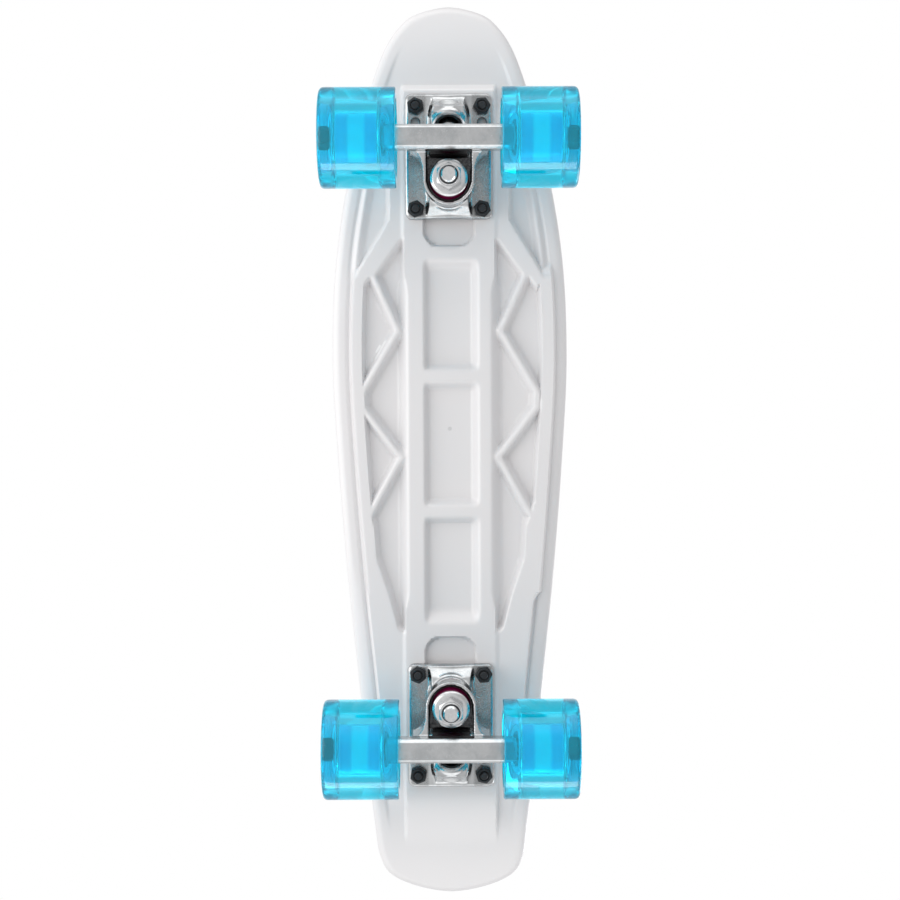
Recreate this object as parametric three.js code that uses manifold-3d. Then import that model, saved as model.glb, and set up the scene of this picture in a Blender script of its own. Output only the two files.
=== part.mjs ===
// Small plastic cruiser skateboard: moulded deck with a ribbed underside, two trucks and four cast wheels.
// Millimetres. The ground is z = 0, +Z is up, the board runs along Y and its nose points to +Y.
// Each truck is drawn in its own frame: origin under the deck's lowest face, above the axle,
// +Y towards its own end of the board, +Z up.

import * as THREE from "three";
import { mergeVertices } from "three/addons/utils/BufferGeometryUtils.js";
import { LoftGeometry } from "three/addons/geometries/LoftGeometry.js";
import Module from "manifold-3d";

const wasm = await Module();
wasm.setup();

// Clearances
const seatGap = 0.3;
const runningGap = 0.4;
const overrun = 3;

// Deck
const deckLength = 574;
const deckWidth = 148.4;
const deckDepth = 12;
const panThickness = 4;
const rimDepth = 5.5;
const rimWidth = 8.6;
const rimStep = 1.2;
const edgeRound = 2.2;
const concaveRise = 2.5;
const flatHalfWidth = 22;
const noseRise = 10;
const tailRise = 36;
const endFade = 32;
const noseToBolts = 98;
const tailToBolts = 121.4;
const padMargin = 4.6;

// Moulded ribs under the deck
const beamFootHalf = 30.4;
const beamShoulderHalf = 28;
const beamTailFade = 41;
const channelHalf = 18.3;
const channelFloorHalf = 13.2;
const channelDepth = 6;
const channelEndSlope = 8;
const channelFrontGap = 69;
const channelRearGap = 68;
const crossRibTop = 6.6;
const crossRibSlope = 4.7;
const ribDrop = 1;
const ribWidth = 5;
const ribDraft = 1.4;
const bandInsetShare = 0.0795;
const bandWidthShare = 0.0472;
const plateauInsetShare = 0.0876;
const plateauStart = 52;
const plateauBandEnd = 39;
const plateauSlope = 26;
const plateauFoot = 13;
const noseRibStart = 19.5;
const noseRibBendShare = 0.3;
const noseRibAcrossShare = 0.35;
const scallopHalf = 15.7;
const scallopDepth = 5;
const scallopReach = 17;

// Truck
const axleOffset = 6.25;
const axleDrop = 50;
const axleRadius = 4;
const hangerWidth = 83;
const barWidth = 14.7;
const barFlatWidth = 10.4;
const barBelowAxle = 8;
const barAboveAxle = 8.5;
const barChamfer = 2.4;
const barTopWidth = 9;

// Baseplate
const baseShift = 1;
const baseThickness = 4.5;
const baseCorner = 4;
const holeSpacingAcross = 41.3;
const holeSpacingAlong = 63.5;
const secondHoleStep = 9.5;
const baseMarginAcross = 6.6;
const baseMarginAlong = 7.25;
const bossMargin = 0.8;
const bossTop = 16.5;
const spineWidth = 27;
const spineRampShare = 0.49;
const spineStep = 3;
const spineValley = 9;
const pivotHousingWidth = 22.8;

// Pivot
const pivotOutShare = 0.2051;
const pivotDrop = 13;
const pivotTilt = 45;
const pivotBallRadius = 5;
const pivotNeckRadius = 4.6;
const pivotRootRadius = 7;
const pivotNeckLength = 26;
const cupOuterRadius = 8.25;
const cupFlangeRadius = 9;
const cupFlange = 1.4;
const cupDepth = 11;
const cupMouthRadius = 6.4;
const cupMouthRise = 5;
const housingWall = 3;

// Kingpin and its cushions, measured from the middle of the hanger's ring, towards the deck
const kingpinInShare = 0.3013;
const ringDrop = 30.5;
const kingpinTilt = 3.5;
const kingpinRadius = 4.75;
const kingpinHeadRadius = 7.6;
const kingpinHeadHeight = 5;
const ringThickness = 5;
const ringHoleRadius = 6.6;
const ringInnerShare = 0.177;
const ringWall = 1.6;
const ringWallLow = 7;
const ringWallHigh = 21;
const armFlare = 7;
const armFlareRun = 11;
const cushionMargin = 1.6;
const cushionWaistDepth = 1.2;
const cushionEndDepth = 2.3;
const outerCushionHeight = 10;
const washerMargin = 0.8;
const washerThickness = 1.5;
const washerLip = 0.6;
const kingpinNutFlats = 14.3;
const kingpinNutHeight = 7.5;
const kingpinEnd = 5;

// Wheels
const wheelRadius = 30;
const wheelWidth = 45;
const wheelOuterRound = 4.5;
const wheelInnerRound = 1.5;
const coreRadius = 15;
const coreWidth = 24;
const coreStopRadius = 9.5;
const lipRadius = 24;
const recessRadius = 16.5;
const bearingRadius = 11;
const bearingWidth = 7;
const bearingBoreRadius = 6.4;
const speedWasherRadius = 5.4;
const speedWasherThickness = 1;
const axleNutFlats = 12.7;
const axleNutHeight = 6.5;
const axleEnd = 1.6;

// Deck bolts
const boltRadius = 2.4;
const boltHeadRadius = 4.8;
const boltHeadHeight = 2.6;
const boltEnd = 1.6;
const deckNutFlats = 9.5;
const deckNutHeight = 5.5;

// Facets round each kind of round piece
const tyreSides = 28;
const ringSides = 18;
const cushionSides = 18;
const pinSides = 12;
const holeSides = 10;
const deckSections = 38;
const cornerSteps = 4;
const outlineSteps = 228;

// Shares of the deck's half length and half width, tail to nose
const outlineShares = [
  [-1, 0.09], [-0.979, 0.353], [-0.945, 0.55], [-0.9, 0.625], [-0.8, 0.67], [-0.5, 0.786], [-0.27, 0.876],
  [0, 0.958], [0.23, 1], [0.46, 0.957], [0.7, 0.79], [0.84, 0.636], [0.91, 0.531], [0.953, 0.423],
  [0.98, 0.307], [1, 0.09],
];
// Zigzag rib: share of the way from beam to band, and share of the half length
const zigzagShares = [[0, 0.492], [0.62, 0.414], [0, 0.288], [1, 0.144], [0, 0.008], [1, -0.115]];
// Cross ribs in the channel, as shares of the half length
const crossRibShares = [0.186, -0.11];
const nosePower = 2;
const tailPower = 1.55;
const concaveShare = 0.35;
const concaveHalfShare = 0.62;
// The most of a tip's half width that the flat middle, the rim and its step may take
const tipFlatShare = 1 / 3;
const tipRimShare = 0.4;
const tipStepShare = 0.1;
const crowdingShare = 0.5;
const middleShare = 0.5;
// How far along its fade behind the rear truck the beam is, and how much of it shows there
const beamFadeShares = [[1 / 3, 0.8], [2 / 3, 0.45], [1, 0]];

const baseWidth = holeSpacingAcross + baseMarginAcross * 2;
const baseLength = holeSpacingAlong + baseMarginAlong * 2;
const kingpinIn = baseLength * kingpinInShare;
const ringInnerRadius = baseLength * ringInnerShare;
const bossRadius = ringInnerRadius - bossMargin;
const cushionRadius = ringInnerRadius - cushionMargin;
const cushionWaist = cushionRadius - cushionWaistDepth;
const cushionEndRadius = cushionRadius - cushionEndDepth;
const washerRadius = cushionRadius - washerMargin;
const pivotOut = baseLength * pivotOutShare;
const padReach = baseLength / 2 + padMargin;
const bandInset = deckWidth * bandInsetShare;
const bandWidth = deckWidth * bandWidthShare;
const plateauInset = deckWidth * plateauInsetShare;
const halfLength = deckLength / 2;
const frontBolts = halfLength - noseToBolts;
const rearBolts = tailToBolts - halfLength;
const deckBottom = wheelRadius + axleDrop;
const deckTop = deckBottom + deckDepth;
const wheelMiddle = hangerWidth / 2 + speedWasherThickness + coreWidth / 2;
const degree = Math.PI / 180;

const finishes = {
  deck: new THREE.MeshStandardMaterial({ color: 0xe4e5e6, roughness: 0.38, metalness: 0 }),
  castMetal: new THREE.MeshStandardMaterial({ color: 0xb4b9bb, roughness: 0.28, metalness: 1 }),
  steel: new THREE.MeshStandardMaterial({ color: 0xc8cacc, roughness: 0.22, metalness: 1 }),
  blackSteel: new THREE.MeshStandardMaterial({ color: 0x1b1e20, roughness: 0.42, metalness: 0.7 }),
  blackPlastic: new THREE.MeshStandardMaterial({ color: 0x101112, roughness: 0.6, metalness: 0 }),
  cushion: new THREE.MeshStandardMaterial({ color: 0x6a0a38, roughness: 0.35, metalness: 0 }),
  tyre: new THREE.MeshStandardMaterial({ color: 0x2fbce8, roughness: 0.12, metalness: 0 }),
  core: new THREE.MeshStandardMaterial({ color: 0x35daf8, roughness: 0.4, metalness: 0 }),
};

// Solids

// The geometry with only positions, its doubled points merged, collapsed triangles dropped and faces out.
function closed(geometry) {
  const plain = new THREE.BufferGeometry();
  plain.setAttribute("position", geometry.getAttribute("position").clone());
  plain.setIndex(geometry.index);
  const merged = mergeVertices(plain);
  const corners = merged.index.array;
  const point = merged.getAttribute("position");
  const [a, b, c] = [new THREE.Vector3(), new THREE.Vector3(), new THREE.Vector3()];
  const kept = [];
  let volume = 0;
  for (let i = 0; i < corners.length; i += 3) {
    const [p, q, r] = corners.slice(i, i + 3);
    if (p === q || q === r || r === p) continue;
    a.fromBufferAttribute(point, p);
    b.fromBufferAttribute(point, q);
    c.fromBufferAttribute(point, r);
    volume += a.dot(b.cross(c));
    kept.push([p, q, r]);
  }
  const faces = volume < 0 ? kept.map(([p, q, r]) => [p, r, q]) : kept;
  merged.setIndex(faces.flat());
  return merged;
}

function toSolid(geometry) {
  const merged = closed(geometry);
  return new wasm.Manifold(new wasm.Mesh({
    numProp: 3,
    vertProperties: new Float32Array(merged.getAttribute("position").array),
    triVerts: new Uint32Array(merged.index.array),
  }));
}

function fromSolid(solid) {
  const mesh = solid.getMesh();
  const geometry = new THREE.BufferGeometry();
  geometry.setAttribute("position", new THREE.BufferAttribute(new Float32Array(mesh.vertProperties), 3));
  geometry.setIndex(Array.from(mesh.triVerts));
  return geometry;
}

// All added solids joined, less all the cutters.
function combine(added, cutters = []) {
  let solid = added[0];
  for (const other of added.slice(1)) solid = solid.add(other);
  for (const cutter of cutters) solid = solid.subtract(cutter);
  return solid;
}

// The same for plain shapes.
function build(added, cutters = []) {
  return fromSolid(combine(added.map(toSolid), cutters.map(toSolid)));
}

// A profile of [radius, height] points turned about Z. It starts and ends on the axis.
function revolve(profile, sides) {
  const points = profile.map(([radius, height]) => new THREE.Vector2(radius, height));
  return new THREE.LatheGeometry(points, sides).rotateX(Math.PI / 2);
}

// A profile that closes on itself, turned about Z.
function revolveRing(profile, sides) {
  return revolve([...profile, profile[0]], sides);
}

function cylinder(radius, low, high, sides) {
  return revolve([[0, low], [radius, low], [radius, high], [0, high]], sides);
}

function circle(radius, sides) {
  return Array.from({ length: sides }, (_, side) => {
    const turn = (2 * Math.PI * side) / sides;
    return new THREE.Vector2(radius * Math.sin(turn), -radius * Math.cos(turn));
  });
}

// A plan shape between two heights.
function slab(shape, low, high) {
  const options = { depth: high - low, bevelEnabled: false, curveSegments: cornerSteps };
  return new THREE.ExtrudeGeometry(shape, options).translate(0, 0, low);
}

// A side view of [y, z] points, widened along X about the middle plane.
function sideSlab(points, width) {
  const shape = new THREE.Shape(points.map(([y, z]) => new THREE.Vector2(y, z)));
  const geometry = new THREE.ExtrudeGeometry(shape, { depth: width, bevelEnabled: false });
  const [x, y, z] = [new THREE.Vector3(1, 0, 0), new THREE.Vector3(0, 1, 0), new THREE.Vector3(0, 0, 1)];
  return geometry.translate(0, 0, -width / 2).applyMatrix4(new THREE.Matrix4().makeBasis(y, z, x));
}

// Sections joined into one skin with both ends closed. Each runs anticlockwise, seen from the last one.
function loft(sections) {
  const first = sections[0];
  const normal = new THREE.Vector3();
  first.forEach((here, i) => normal.add(here.clone().cross(first[(i + 1) % first.length])));
  const travel = sections[sections.length - 1][0].clone().sub(first[0]);
  const ordered = normal.dot(travel) > 0 ? sections : sections.map((section) => [...section].reverse());
  return new LoftGeometry(ordered, { capStart: true, capEnd: true });
}

function hexNut(flats, height, boreRadius, sides) {
  const shape = new THREE.Shape(circle(flats / Math.sqrt(3), 6));
  shape.holes.push(new THREE.Path(circle(boreRadius, sides)));
  return slab(shape, 0, height);
}

function roundedRectangle(width, length, corner, middleY) {
  const [right, far, near] = [width / 2, middleY + length / 2, middleY - length / 2];
  const shape = new THREE.Shape();
  shape.moveTo(right - corner, near);
  shape.quadraticCurveTo(right, near, right, near + corner);
  shape.lineTo(right, far - corner);
  shape.quadraticCurveTo(right, far, right - corner, far);
  shape.lineTo(corner - right, far);
  shape.quadraticCurveTo(-right, far, -right, far - corner);
  shape.lineTo(-right, near + corner);
  shape.quadraticCurveTo(-right, near, corner - right, near);
  return shape;
}

function mix(from, to, share) {
  return from + (to - from) * share;
}

// Deck

const outlineCurve = new THREE.CatmullRomCurve3(
  outlineShares.map(([along, across]) => (
    new THREE.Vector3((across * deckWidth) / 2, along * halfLength, 0))),
  false, "centripetal",
);
const outlinePoints = outlineCurve.getPoints(outlineSteps);

// Half of the deck's width at a place along it.
function halfWidthAt(y) {
  const next = outlinePoints.findIndex((point) => point.y >= y);
  if (next <= 0) return outlinePoints[next === 0 ? 0 : outlinePoints.length - 1].x;
  const [from, to] = [outlinePoints[next - 1], outlinePoints[next]];
  return mix(from.x, to.x, (y - from.y) / (to.y - from.y));
}

// How far past the truck pads a place lies, as a share of what is left of the board.
function kickShares(y) {
  const [noseStart, tailStart] = [frontBolts + padReach, rearBolts - padReach];
  const nose = Math.max(0, (y - noseStart) / (halfLength - noseStart));
  const tail = Math.max(0, (tailStart - y) / (halfLength + tailStart));
  return [nose, tail];
}

function riseAt(y) {
  const [nose, tail] = kickShares(y);
  return noseRise * nose ** nosePower + tailRise * tail ** tailPower;
}

// 0 over the ribbed middle and 1 where the nose or the tail is plain and thick.
function fullnessAt(y) {
  const past = Math.max(y - frontBolts - padReach, rearBolts - padReach - y);
  return THREE.MathUtils.smoothstep(past, 0, endFade);
}

// The deck's pan at one place: a closed ring round its section.
function panSection(y, half) {
  const top = deckTop + riseAt(y);
  const concave = concaveRise * Math.min(1, (half * 2) / deckWidth);
  const rimUnder = top - rimDepth;
  const under = mix(top - panThickness, rimUnder, fullnessAt(y));
  const round = Math.min(edgeRound, half * tipFlatShare);
  const rim = Math.min(rimWidth, half * tipRimShare);
  const step = Math.min(rimStep, half * tipStepShare);
  const flat = Math.min(flatHalfWidth, half * tipFlatShare);
  const right = [
    [flat, top],
    [half * concaveHalfShare, top + concave * concaveShare],
    [half - round, top + concave],
    [half, top + concave - round],
    [half, rimUnder + round],
    [half - round, rimUnder],
    [half - rim, rimUnder],
    [half - rim - step, Math.max(rimUnder, under)],
    [flat, under],
  ];
  const left = right.map(([x, z]) => [-x, z]).reverse();
  return [...right, ...left].map(([x, z]) => new THREE.Vector3(x, y, z));
}

function deckPan() {
  const sections = [];
  for (let k = 0; k <= deckSections; k += 1) {
    const even = k / deckSections;
    const crowded = (1 - Math.cos(Math.PI * even)) / 2;
    const point = outlineCurve.getPoint(mix(even, crowded, crowdingShare));
    sections.push(panSection(point.y, point.x));
  }
  return loft(sections);
}

// The middle beam at one place. depth is the channel's depth there, drop how much of the beam shows.
function beamSection(y, depth, drop) {
  const top = deckTop + riseAt(y);
  const face = mix(top - rimDepth + seatGap, top - deckDepth, drop);
  const right = [
    [beamFootHalf, top - panThickness / 2],
    [beamFootHalf, Math.max(face, top - panThickness)],
    [beamShoulderHalf, face],
    [channelHalf, face],
    [channelFloorHalf, face + depth],
  ];
  const left = right.map(([x, z]) => [-x, z]).reverse();
  return [...right, ...left].map(([x, z]) => new THREE.Vector3(x, y, z));
}

// Beam with the long channel, which two cross ribs divide.
function deckBeam() {
  const channelFront = frontBolts - channelFrontGap + channelEndSlope;
  const channelRear = rearBolts + channelRearGap - channelEndSlope;
  const padFront = frontBolts + padReach;
  const padRear = rearBolts - padReach;
  const places = [[padFront, 0, 1], [channelFront, 0, 1], [channelFront - channelEndSlope, channelDepth, 1]];
  for (const share of crossRibShares) {
    const middle = share * halfLength;
    const [top, foot] = [crossRibTop / 2, crossRibTop / 2 + crossRibSlope];
    places.push([middle + foot, channelDepth, 1], [middle + top, 0, 1]);
    places.push([middle - top, 0, 1], [middle - foot, channelDepth, 1]);
  }
  places.push([channelRear + channelEndSlope, channelDepth, 1], [channelRear, 0, 1], [padRear, 0, 1]);
  for (const [along, shown] of beamFadeShares) places.push([padRear - beamTailFade * along, 0, shown]);
  const sections = places.map(([y, depth, drop]) => beamSection(y, depth, drop));
  return loft(sections);
}

// The unit normal between the edges that meet at a point of a path.
function mitre(before, here, after) {
  const into = here.clone().sub(before ?? here).normalize();
  const out = (after ?? here).clone().sub(here).normalize();
  const along = into.clone().add(out).normalize();
  const normal = new THREE.Vector2(-along.y, along.x);
  const edge = before ? into : out;
  return normal.divideScalar(Math.abs(normal.dot(new THREE.Vector2(-edge.y, edge.x))));
}

// A loop as wide as a rib round its middle line.
function ribLoop(path, width) {
  const offset = path.map((here, i) => mitre(path[i - 1], here, path[i + 1]).multiplyScalar(width / 2));
  const one = path.map((here, i) => here.clone().add(offset[i]));
  const other = path.map((here, i) => here.clone().sub(offset[i]));
  return [...one, ...other.reverse()];
}

// A raised form under the deck: the loop at its lower face, with walls that widen upwards by the draft.
function raised(loop) {
  const outward = THREE.ShapeUtils.area(loop) > 0 ? -1 : 1;
  const count = loop.length;
  const foot = loop.map((here, i) => {
    const side = mitre(loop[(i + count - 1) % count], here, loop[(i + 1) % count]);
    return here.clone().addScaledVector(side, outward * ribDraft);
  });
  const low = loop.map(({ x, y }) => new THREE.Vector3(x, y, deckBottom + ribDrop));
  const high = foot.map(({ x, y }) => new THREE.Vector3(x, y, deckTop - panThickness / 2));
  return loft([low, high]);
}

function bandMiddle(y) {
  return halfWidthAt(y) - bandInset - bandWidth / 2;
}

// Rib along the deck's edge, from beside the front truck to the start of the tail's plateau.
function edgeBand(side) {
  const to = rearBolts + padReach + plateauBandEnd;
  const from = frontBolts + padReach;
  const steps = 12;
  const path = Array.from({ length: steps + 1 }, (_, step) => {
    const y = mix(from, to, step / steps);
    return new THREE.Vector2(side * bandMiddle(y), y);
  });
  return raised(ribLoop(path, bandWidth));
}

function zigzagRib(side) {
  const path = zigzagShares.map(([across, along]) => {
    const y = along * halfLength;
    return new THREE.Vector2(side * mix(beamFootHalf, bandMiddle(y), across), y);
  });
  return raised(ribLoop(path, ribWidth));
}

// Rib that runs from the front truck's pad out to the edge band.
function noseRib(side) {
  const inner = frontBolts - noseRibStart;
  const outer = frontBolts - channelFrontGap;
  const bend = mix(inner, outer, noseRibBendShare);
  const path = [
    new THREE.Vector2(side * beamShoulderHalf, inner),
    new THREE.Vector2(side * mix(beamFootHalf, bandMiddle(bend), noseRibAcrossShare), bend),
    new THREE.Vector2(side * bandMiddle(outer), outer),
  ];
  return raised(ribLoop(path, ribWidth));
}

// Filled area beside the rear truck, between the beam and a line inside the edge.
function tailPlateau(side) {
  const start = rearBolts + padReach + plateauStart;
  const slope = rearBolts + padReach + plateauSlope;
  const end = rearBolts - padReach;
  const steps = 5;
  const outside = Array.from({ length: steps + 1 }, (_, step) => {
    const y = mix(start, end, step / steps);
    return new THREE.Vector2(side * (halfWidthAt(y) - plateauInset), y);
  });
  const inside = [
    new THREE.Vector2(side * beamShoulderHalf, end),
    new THREE.Vector2(side * beamShoulderHalf, slope - plateauFoot),
    new THREE.Vector2(side * (beamFootHalf + ribWidth), slope),
    new THREE.Vector2(side * (bandMiddle(start) - bandWidth / 2), start),
  ];
  return raised([...outside, ...inside]);
}

// Round-ended hollow in the pad, beside a truck's kingpin. inward is -1 at the front truck and 1 at the rear.
function scallop(boltMiddle, inward) {
  const edge = boltMiddle + inward * (baseLength / 2 - baseShift);
  const centre = edge + inward * (scallopReach - scallopHalf);
  const start = boltMiddle + inward * (kingpinIn + bossRadius);
  const shape = new THREE.Shape();
  const arcSteps = 10;
  shape.moveTo(-scallopHalf, start);
  for (let k = 0; k <= arcSteps; k += 1) {
    const turn = (Math.PI * k) / arcSteps;
    shape.lineTo(-scallopHalf * Math.cos(turn), centre + inward * scallopHalf * Math.sin(turn));
  }
  shape.lineTo(scallopHalf, start);
  return slab(shape, deckBottom - overrun, deckBottom + scallopDepth);
}

function holePlaces(along) {
  const places = [];
  for (const x of [-holeSpacingAcross / 2, holeSpacingAcross / 2]) {
    for (const y of along) places.push([x, y]);
  }
  return places;
}

// Bolt places across and along, from the middle of a truck's hole pattern.
const boltPlaces = holePlaces([-holeSpacingAlong / 2, holeSpacingAlong / 2]);

function boltHole() {
  const [bore, head] = [boltRadius + seatGap, boltHeadRadius + seatGap];
  return revolve([
    [0, deckBottom - overrun],
    [bore, deckBottom - overrun],
    [bore, deckTop - boltHeadHeight - seatGap],
    [head, deckTop - seatGap],
    [head, deckTop + overrun],
    [0, deckTop + overrun],
  ], holeSides);
}

function deckShape() {
  const added = [deckPan(), deckBeam()];
  for (const side of [-1, 1]) {
    added.push(edgeBand(side), zigzagRib(side), noseRib(side), tailPlateau(side));
  }
  const cutters = [scallop(frontBolts, -1), scallop(rearBolts, 1)];
  for (const middle of [frontBolts, rearBolts]) {
    for (const [x, y] of boltPlaces) cutters.push(boltHole().translate(x, middle + y, 0));
  }
  return build(added, cutters);
}

// Frames inside a truck

// Kingpin frame: origin in the middle of the hanger's ring, +Z along the pin towards the deck.
const kingpinFrame = new THREE.Matrix4()
  .makeRotationX(kingpinTilt * degree)
  .setPosition(0, -kingpinIn, -ringDrop);

// Pivot frame: origin in the middle of the nub's ball, +Z out of the cup towards the hanger.
const pivotFrame = new THREE.Matrix4()
  .makeRotationX(Math.PI / 2 + pivotTilt * degree)
  .setPosition(0, pivotOut, -pivotDrop);

function atKingpin(geometry) {
  return geometry.applyMatrix4(kingpinFrame);
}

function atPivot(geometry) {
  return geometry.applyMatrix4(pivotFrame);
}

// Baseplate

const baseTop = -seatGap;
const baseUnder = baseTop - baseThickness;
const baseMiddle = baseShift - axleOffset;
const cupBottom = cupMouthRise - cupDepth;

// Cast spine of the baseplate from its inner end to the pivot housing, in side view.
function spineProfile() {
  const innerEnd = baseMiddle - baseLength / 2 + baseCorner / 2;
  const bossMiddle = -kingpinIn;
  const bossStart = bossMiddle - bossRadius / 2;
  const bossFace = bossTop - ringDrop;
  return [
    [innerEnd, baseTop],
    [innerEnd, baseUnder],
    [mix(innerEnd, bossStart, spineRampShare), bossFace + spineValley / 3],
    [bossStart, bossFace + baseThickness / 3],
    [bossMiddle + bossRadius / 2, bossFace + baseThickness / 3],
    [bossMiddle + bossRadius + spineStep, -spineValley],
    [bossMiddle + bossRadius + spineStep, baseTop],
  ];
}

// A point in the pivot frame's side view: how far from the axis, outboard positive, and how far along it.
function pivotSidePoint(across, along) {
  const [sine, cosine] = [Math.sin(pivotTilt * degree), Math.cos(pivotTilt * degree)];
  return [pivotOut - along * cosine + across * sine, -pivotDrop - along * sine - across * cosine];
}

// The same for the kingpin frame, with across towards the axle and along towards the deck.
function kingpinSidePoint(across, along) {
  const [sine, cosine] = [Math.sin(kingpinTilt * degree), Math.cos(kingpinTilt * degree)];
  return [-kingpinIn + across * cosine - along * sine, -ringDrop + across * sine + along * cosine];
}

// Block that holds the pivot cup, in side view, with its mouth square to the cup.
function housingProfile() {
  const reach = cupOuterRadius + housingWall;
  const face = cupMouthRise - cupFlange - seatGap;
  const [outY, outZ] = pivotSidePoint(reach, cupBottom + housingWall);
  return [
    [-kingpinIn + bossRadius, baseTop],
    [-kingpinIn + bossRadius, -spineValley],
    pivotSidePoint(-reach, face),
    pivotSidePoint(reach, face),
    [outY, outZ],
    [outY + housingWall, baseUnder],
    [outY + housingWall, baseTop],
  ];
}

function baseplateShape() {
  const plan = roundedRectangle(baseWidth, baseLength, baseCorner, baseMiddle);
  const bossFoot = ringDrop + baseTop - seatGap;
  const added = [
    slab(plan, baseUnder, baseTop),
    sideSlab(spineProfile(), spineWidth),
    sideSlab(housingProfile(), pivotHousingWidth),
    atKingpin(cylinder(bossRadius, bossTop + seatGap, bossFoot - baseThickness / 2, cushionSides)),
  ];
  const headTop = bossFoot + overrun;
  const headBottom = bossFoot - kingpinHeadHeight - seatGap * 2;
  const cutters = [
    atKingpin(cylinder(kingpinRadius + seatGap, 0, headTop, pinSides)),
    atKingpin(cylinder(kingpinHeadRadius + seatGap, headBottom, headTop, pinSides)),
    atPivot(cylinder(cupOuterRadius + seatGap, cupBottom - seatGap, cupMouthRise + overrun, ringSides)),
    slab(new THREE.Shape(circle(baseLength, 4)), baseTop, baseTop + cupDepth),
  ];
  const along = [holeSpacingAlong / 2, -holeSpacingAlong / 2];
  along.push(holeSpacingAlong / 2 - secondHoleStep);
  for (const [x, y] of holePlaces(along)) {
    const hole = cylinder(boltRadius + seatGap, baseUnder - overrun, baseTop + overrun, holeSides);
    cutters.push(hole.translate(x, y - axleOffset, 0));
  }
  return build(added, cutters);
}

function pivotCupShape() {
  const [bottom, mouth] = [cupBottom, cupMouthRise];
  const inside = pivotBallRadius + seatGap;
  return atPivot(revolve([
    [0, bottom],
    [cupOuterRadius, bottom],
    [cupOuterRadius, mouth - cupFlange],
    [cupFlangeRadius, mouth - cupFlange],
    [cupFlangeRadius, mouth],
    [cupMouthRadius, mouth],
    [inside, 0],
    [inside * Math.cos(Math.PI / 4), -inside * Math.sin(Math.PI / 4)],
    [0, -inside],
  ], ringSides));
}

// Hanger

// The hanger's ring in plan: a U out to an end, whose straight arms flare where they meet the axle bar.
function ringPlan(half, end, flare) {
  const shape = new THREE.Shape();
  const arcSteps = 14;
  shape.moveTo(-half - flare, end);
  if (flare > 0) {
    shape.quadraticCurveTo(-half, end - overrun, -half, end - armFlareRun);
  }
  for (let k = 0; k <= arcSteps; k += 1) {
    const turn = (Math.PI * k) / arcSteps;
    shape.lineTo(-half * Math.cos(turn), -half * Math.sin(turn));
  }
  if (flare > 0) {
    shape.lineTo(half, end - armFlareRun);
    shape.quadraticCurveTo(half, end - overrun, half + flare, end);
  } else {
    shape.lineTo(half, end);
  }
  return shape;
}

// Section of the bar round the axle, flat underneath with a chamfer along each lower edge.
function barProfile() {
  const [flat, wide, top] = [barFlatWidth / 2, barWidth / 2, barTopWidth / 2];
  const [low, high] = [-axleDrop - barBelowAxle, -axleDrop + barAboveAxle];
  return [
    [-flat, low], [flat, low], [wide, low + barChamfer], [wide, -axleDrop + barAboveAxle / 3],
    [top, high], [-top, high], [-wide, -axleDrop + barAboveAxle / 3], [-wide, low + barChamfer],
  ];
}

// Everything below the sloping lower edge of the ring's wall, in side view of the kingpin frame.
function wallTrimProfile() {
  const [near, far] = [-ringInnerRadius - ringWall * 2, kingpinIn];
  const below = -axleDrop;
  return [[near, -ringWallLow], [far, -ringWallHigh], [far, below], [near, below]];
}

// Web that carries the nub, from the ring's seat to under the bar, in side view.
function webProfile() {
  const seat = ringThickness / 2;
  return [
    kingpinSidePoint(ringHoleRadius + ringWall, seat),
    kingpinSidePoint(ringHoleRadius + ringWall, 0),
    kingpinSidePoint(ringInnerRadius, 0),
    [-barWidth / 2, -axleDrop],
    [barWidth / 4, -axleDrop + barAboveAxle / 2],
    [barWidth / 2, -axleDrop + barAboveAxle],
    kingpinSidePoint(kingpinIn, seat),
  ];
}

function hangerShape() {
  const seat = ringThickness / 2;
  const armEnd = kingpinIn - barWidth / 2 + overrun;
  const outside = ringPlan(ringInnerRadius + ringWall, armEnd, armFlare);
  const inside = ringPlan(ringInnerRadius, armEnd + overrun, 0);
  const block = slab(outside, -ringWallHigh - seat, seat);
  const hollow = slab(inside, -axleDrop, -seat);
  const trim = sideSlab(wallTrimProfile(), deckWidth);
  const walls = combine([toSolid(atKingpin(block))], [toSolid(atKingpin(hollow)), toSolid(atKingpin(trim))]);
  const nub = atPivot(revolve([
    [0, -pivotBallRadius],
    [pivotBallRadius * Math.sin(Math.PI / 4), -pivotBallRadius * Math.cos(Math.PI / 4)],
    [pivotBallRadius, 0],
    [pivotNeckRadius, pivotBallRadius],
    [pivotRootRadius, pivotNeckLength],
    [0, pivotNeckLength],
  ], pinSides));
  const bore = cylinder(axleRadius + seatGap, -hangerWidth, hangerWidth, pinSides);
  bore.rotateY(Math.PI / 2).translate(0, 0, -axleDrop);
  const pinHole = atKingpin(cylinder(ringHoleRadius, -seat - overrun, seat + overrun, ringSides));
  const [bar, web] = [sideSlab(barProfile(), hangerWidth), sideSlab(webProfile(), ringInnerRadius * 2 + ringWall)];
  return fromSolid(combine([walls, toSolid(bar), toSolid(web), toSolid(nub)], [toSolid(bore), toSolid(pinHole)]));
}

// Cushions, kingpin and washer, each in the kingpin frame

function cushionShape(low, high) {
  const bore = kingpinRadius + seatGap;
  const waist = mix(low, high, middleShare);
  return revolveRing([
    [bore, low], [cushionEndRadius, low], [cushionRadius, mix(low, waist, middleShare)], [cushionWaist, waist],
    [cushionRadius, mix(waist, high, middleShare)], [cushionEndRadius, high], [bore, high],
  ], cushionSides);
}

const washerFace = -ringThickness / 2 - outerCushionHeight - seatGap * 2;
const nutFace = washerFace - washerThickness - seatGap;
const pinEnd = nutFace - kingpinNutHeight - kingpinEnd;

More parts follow.
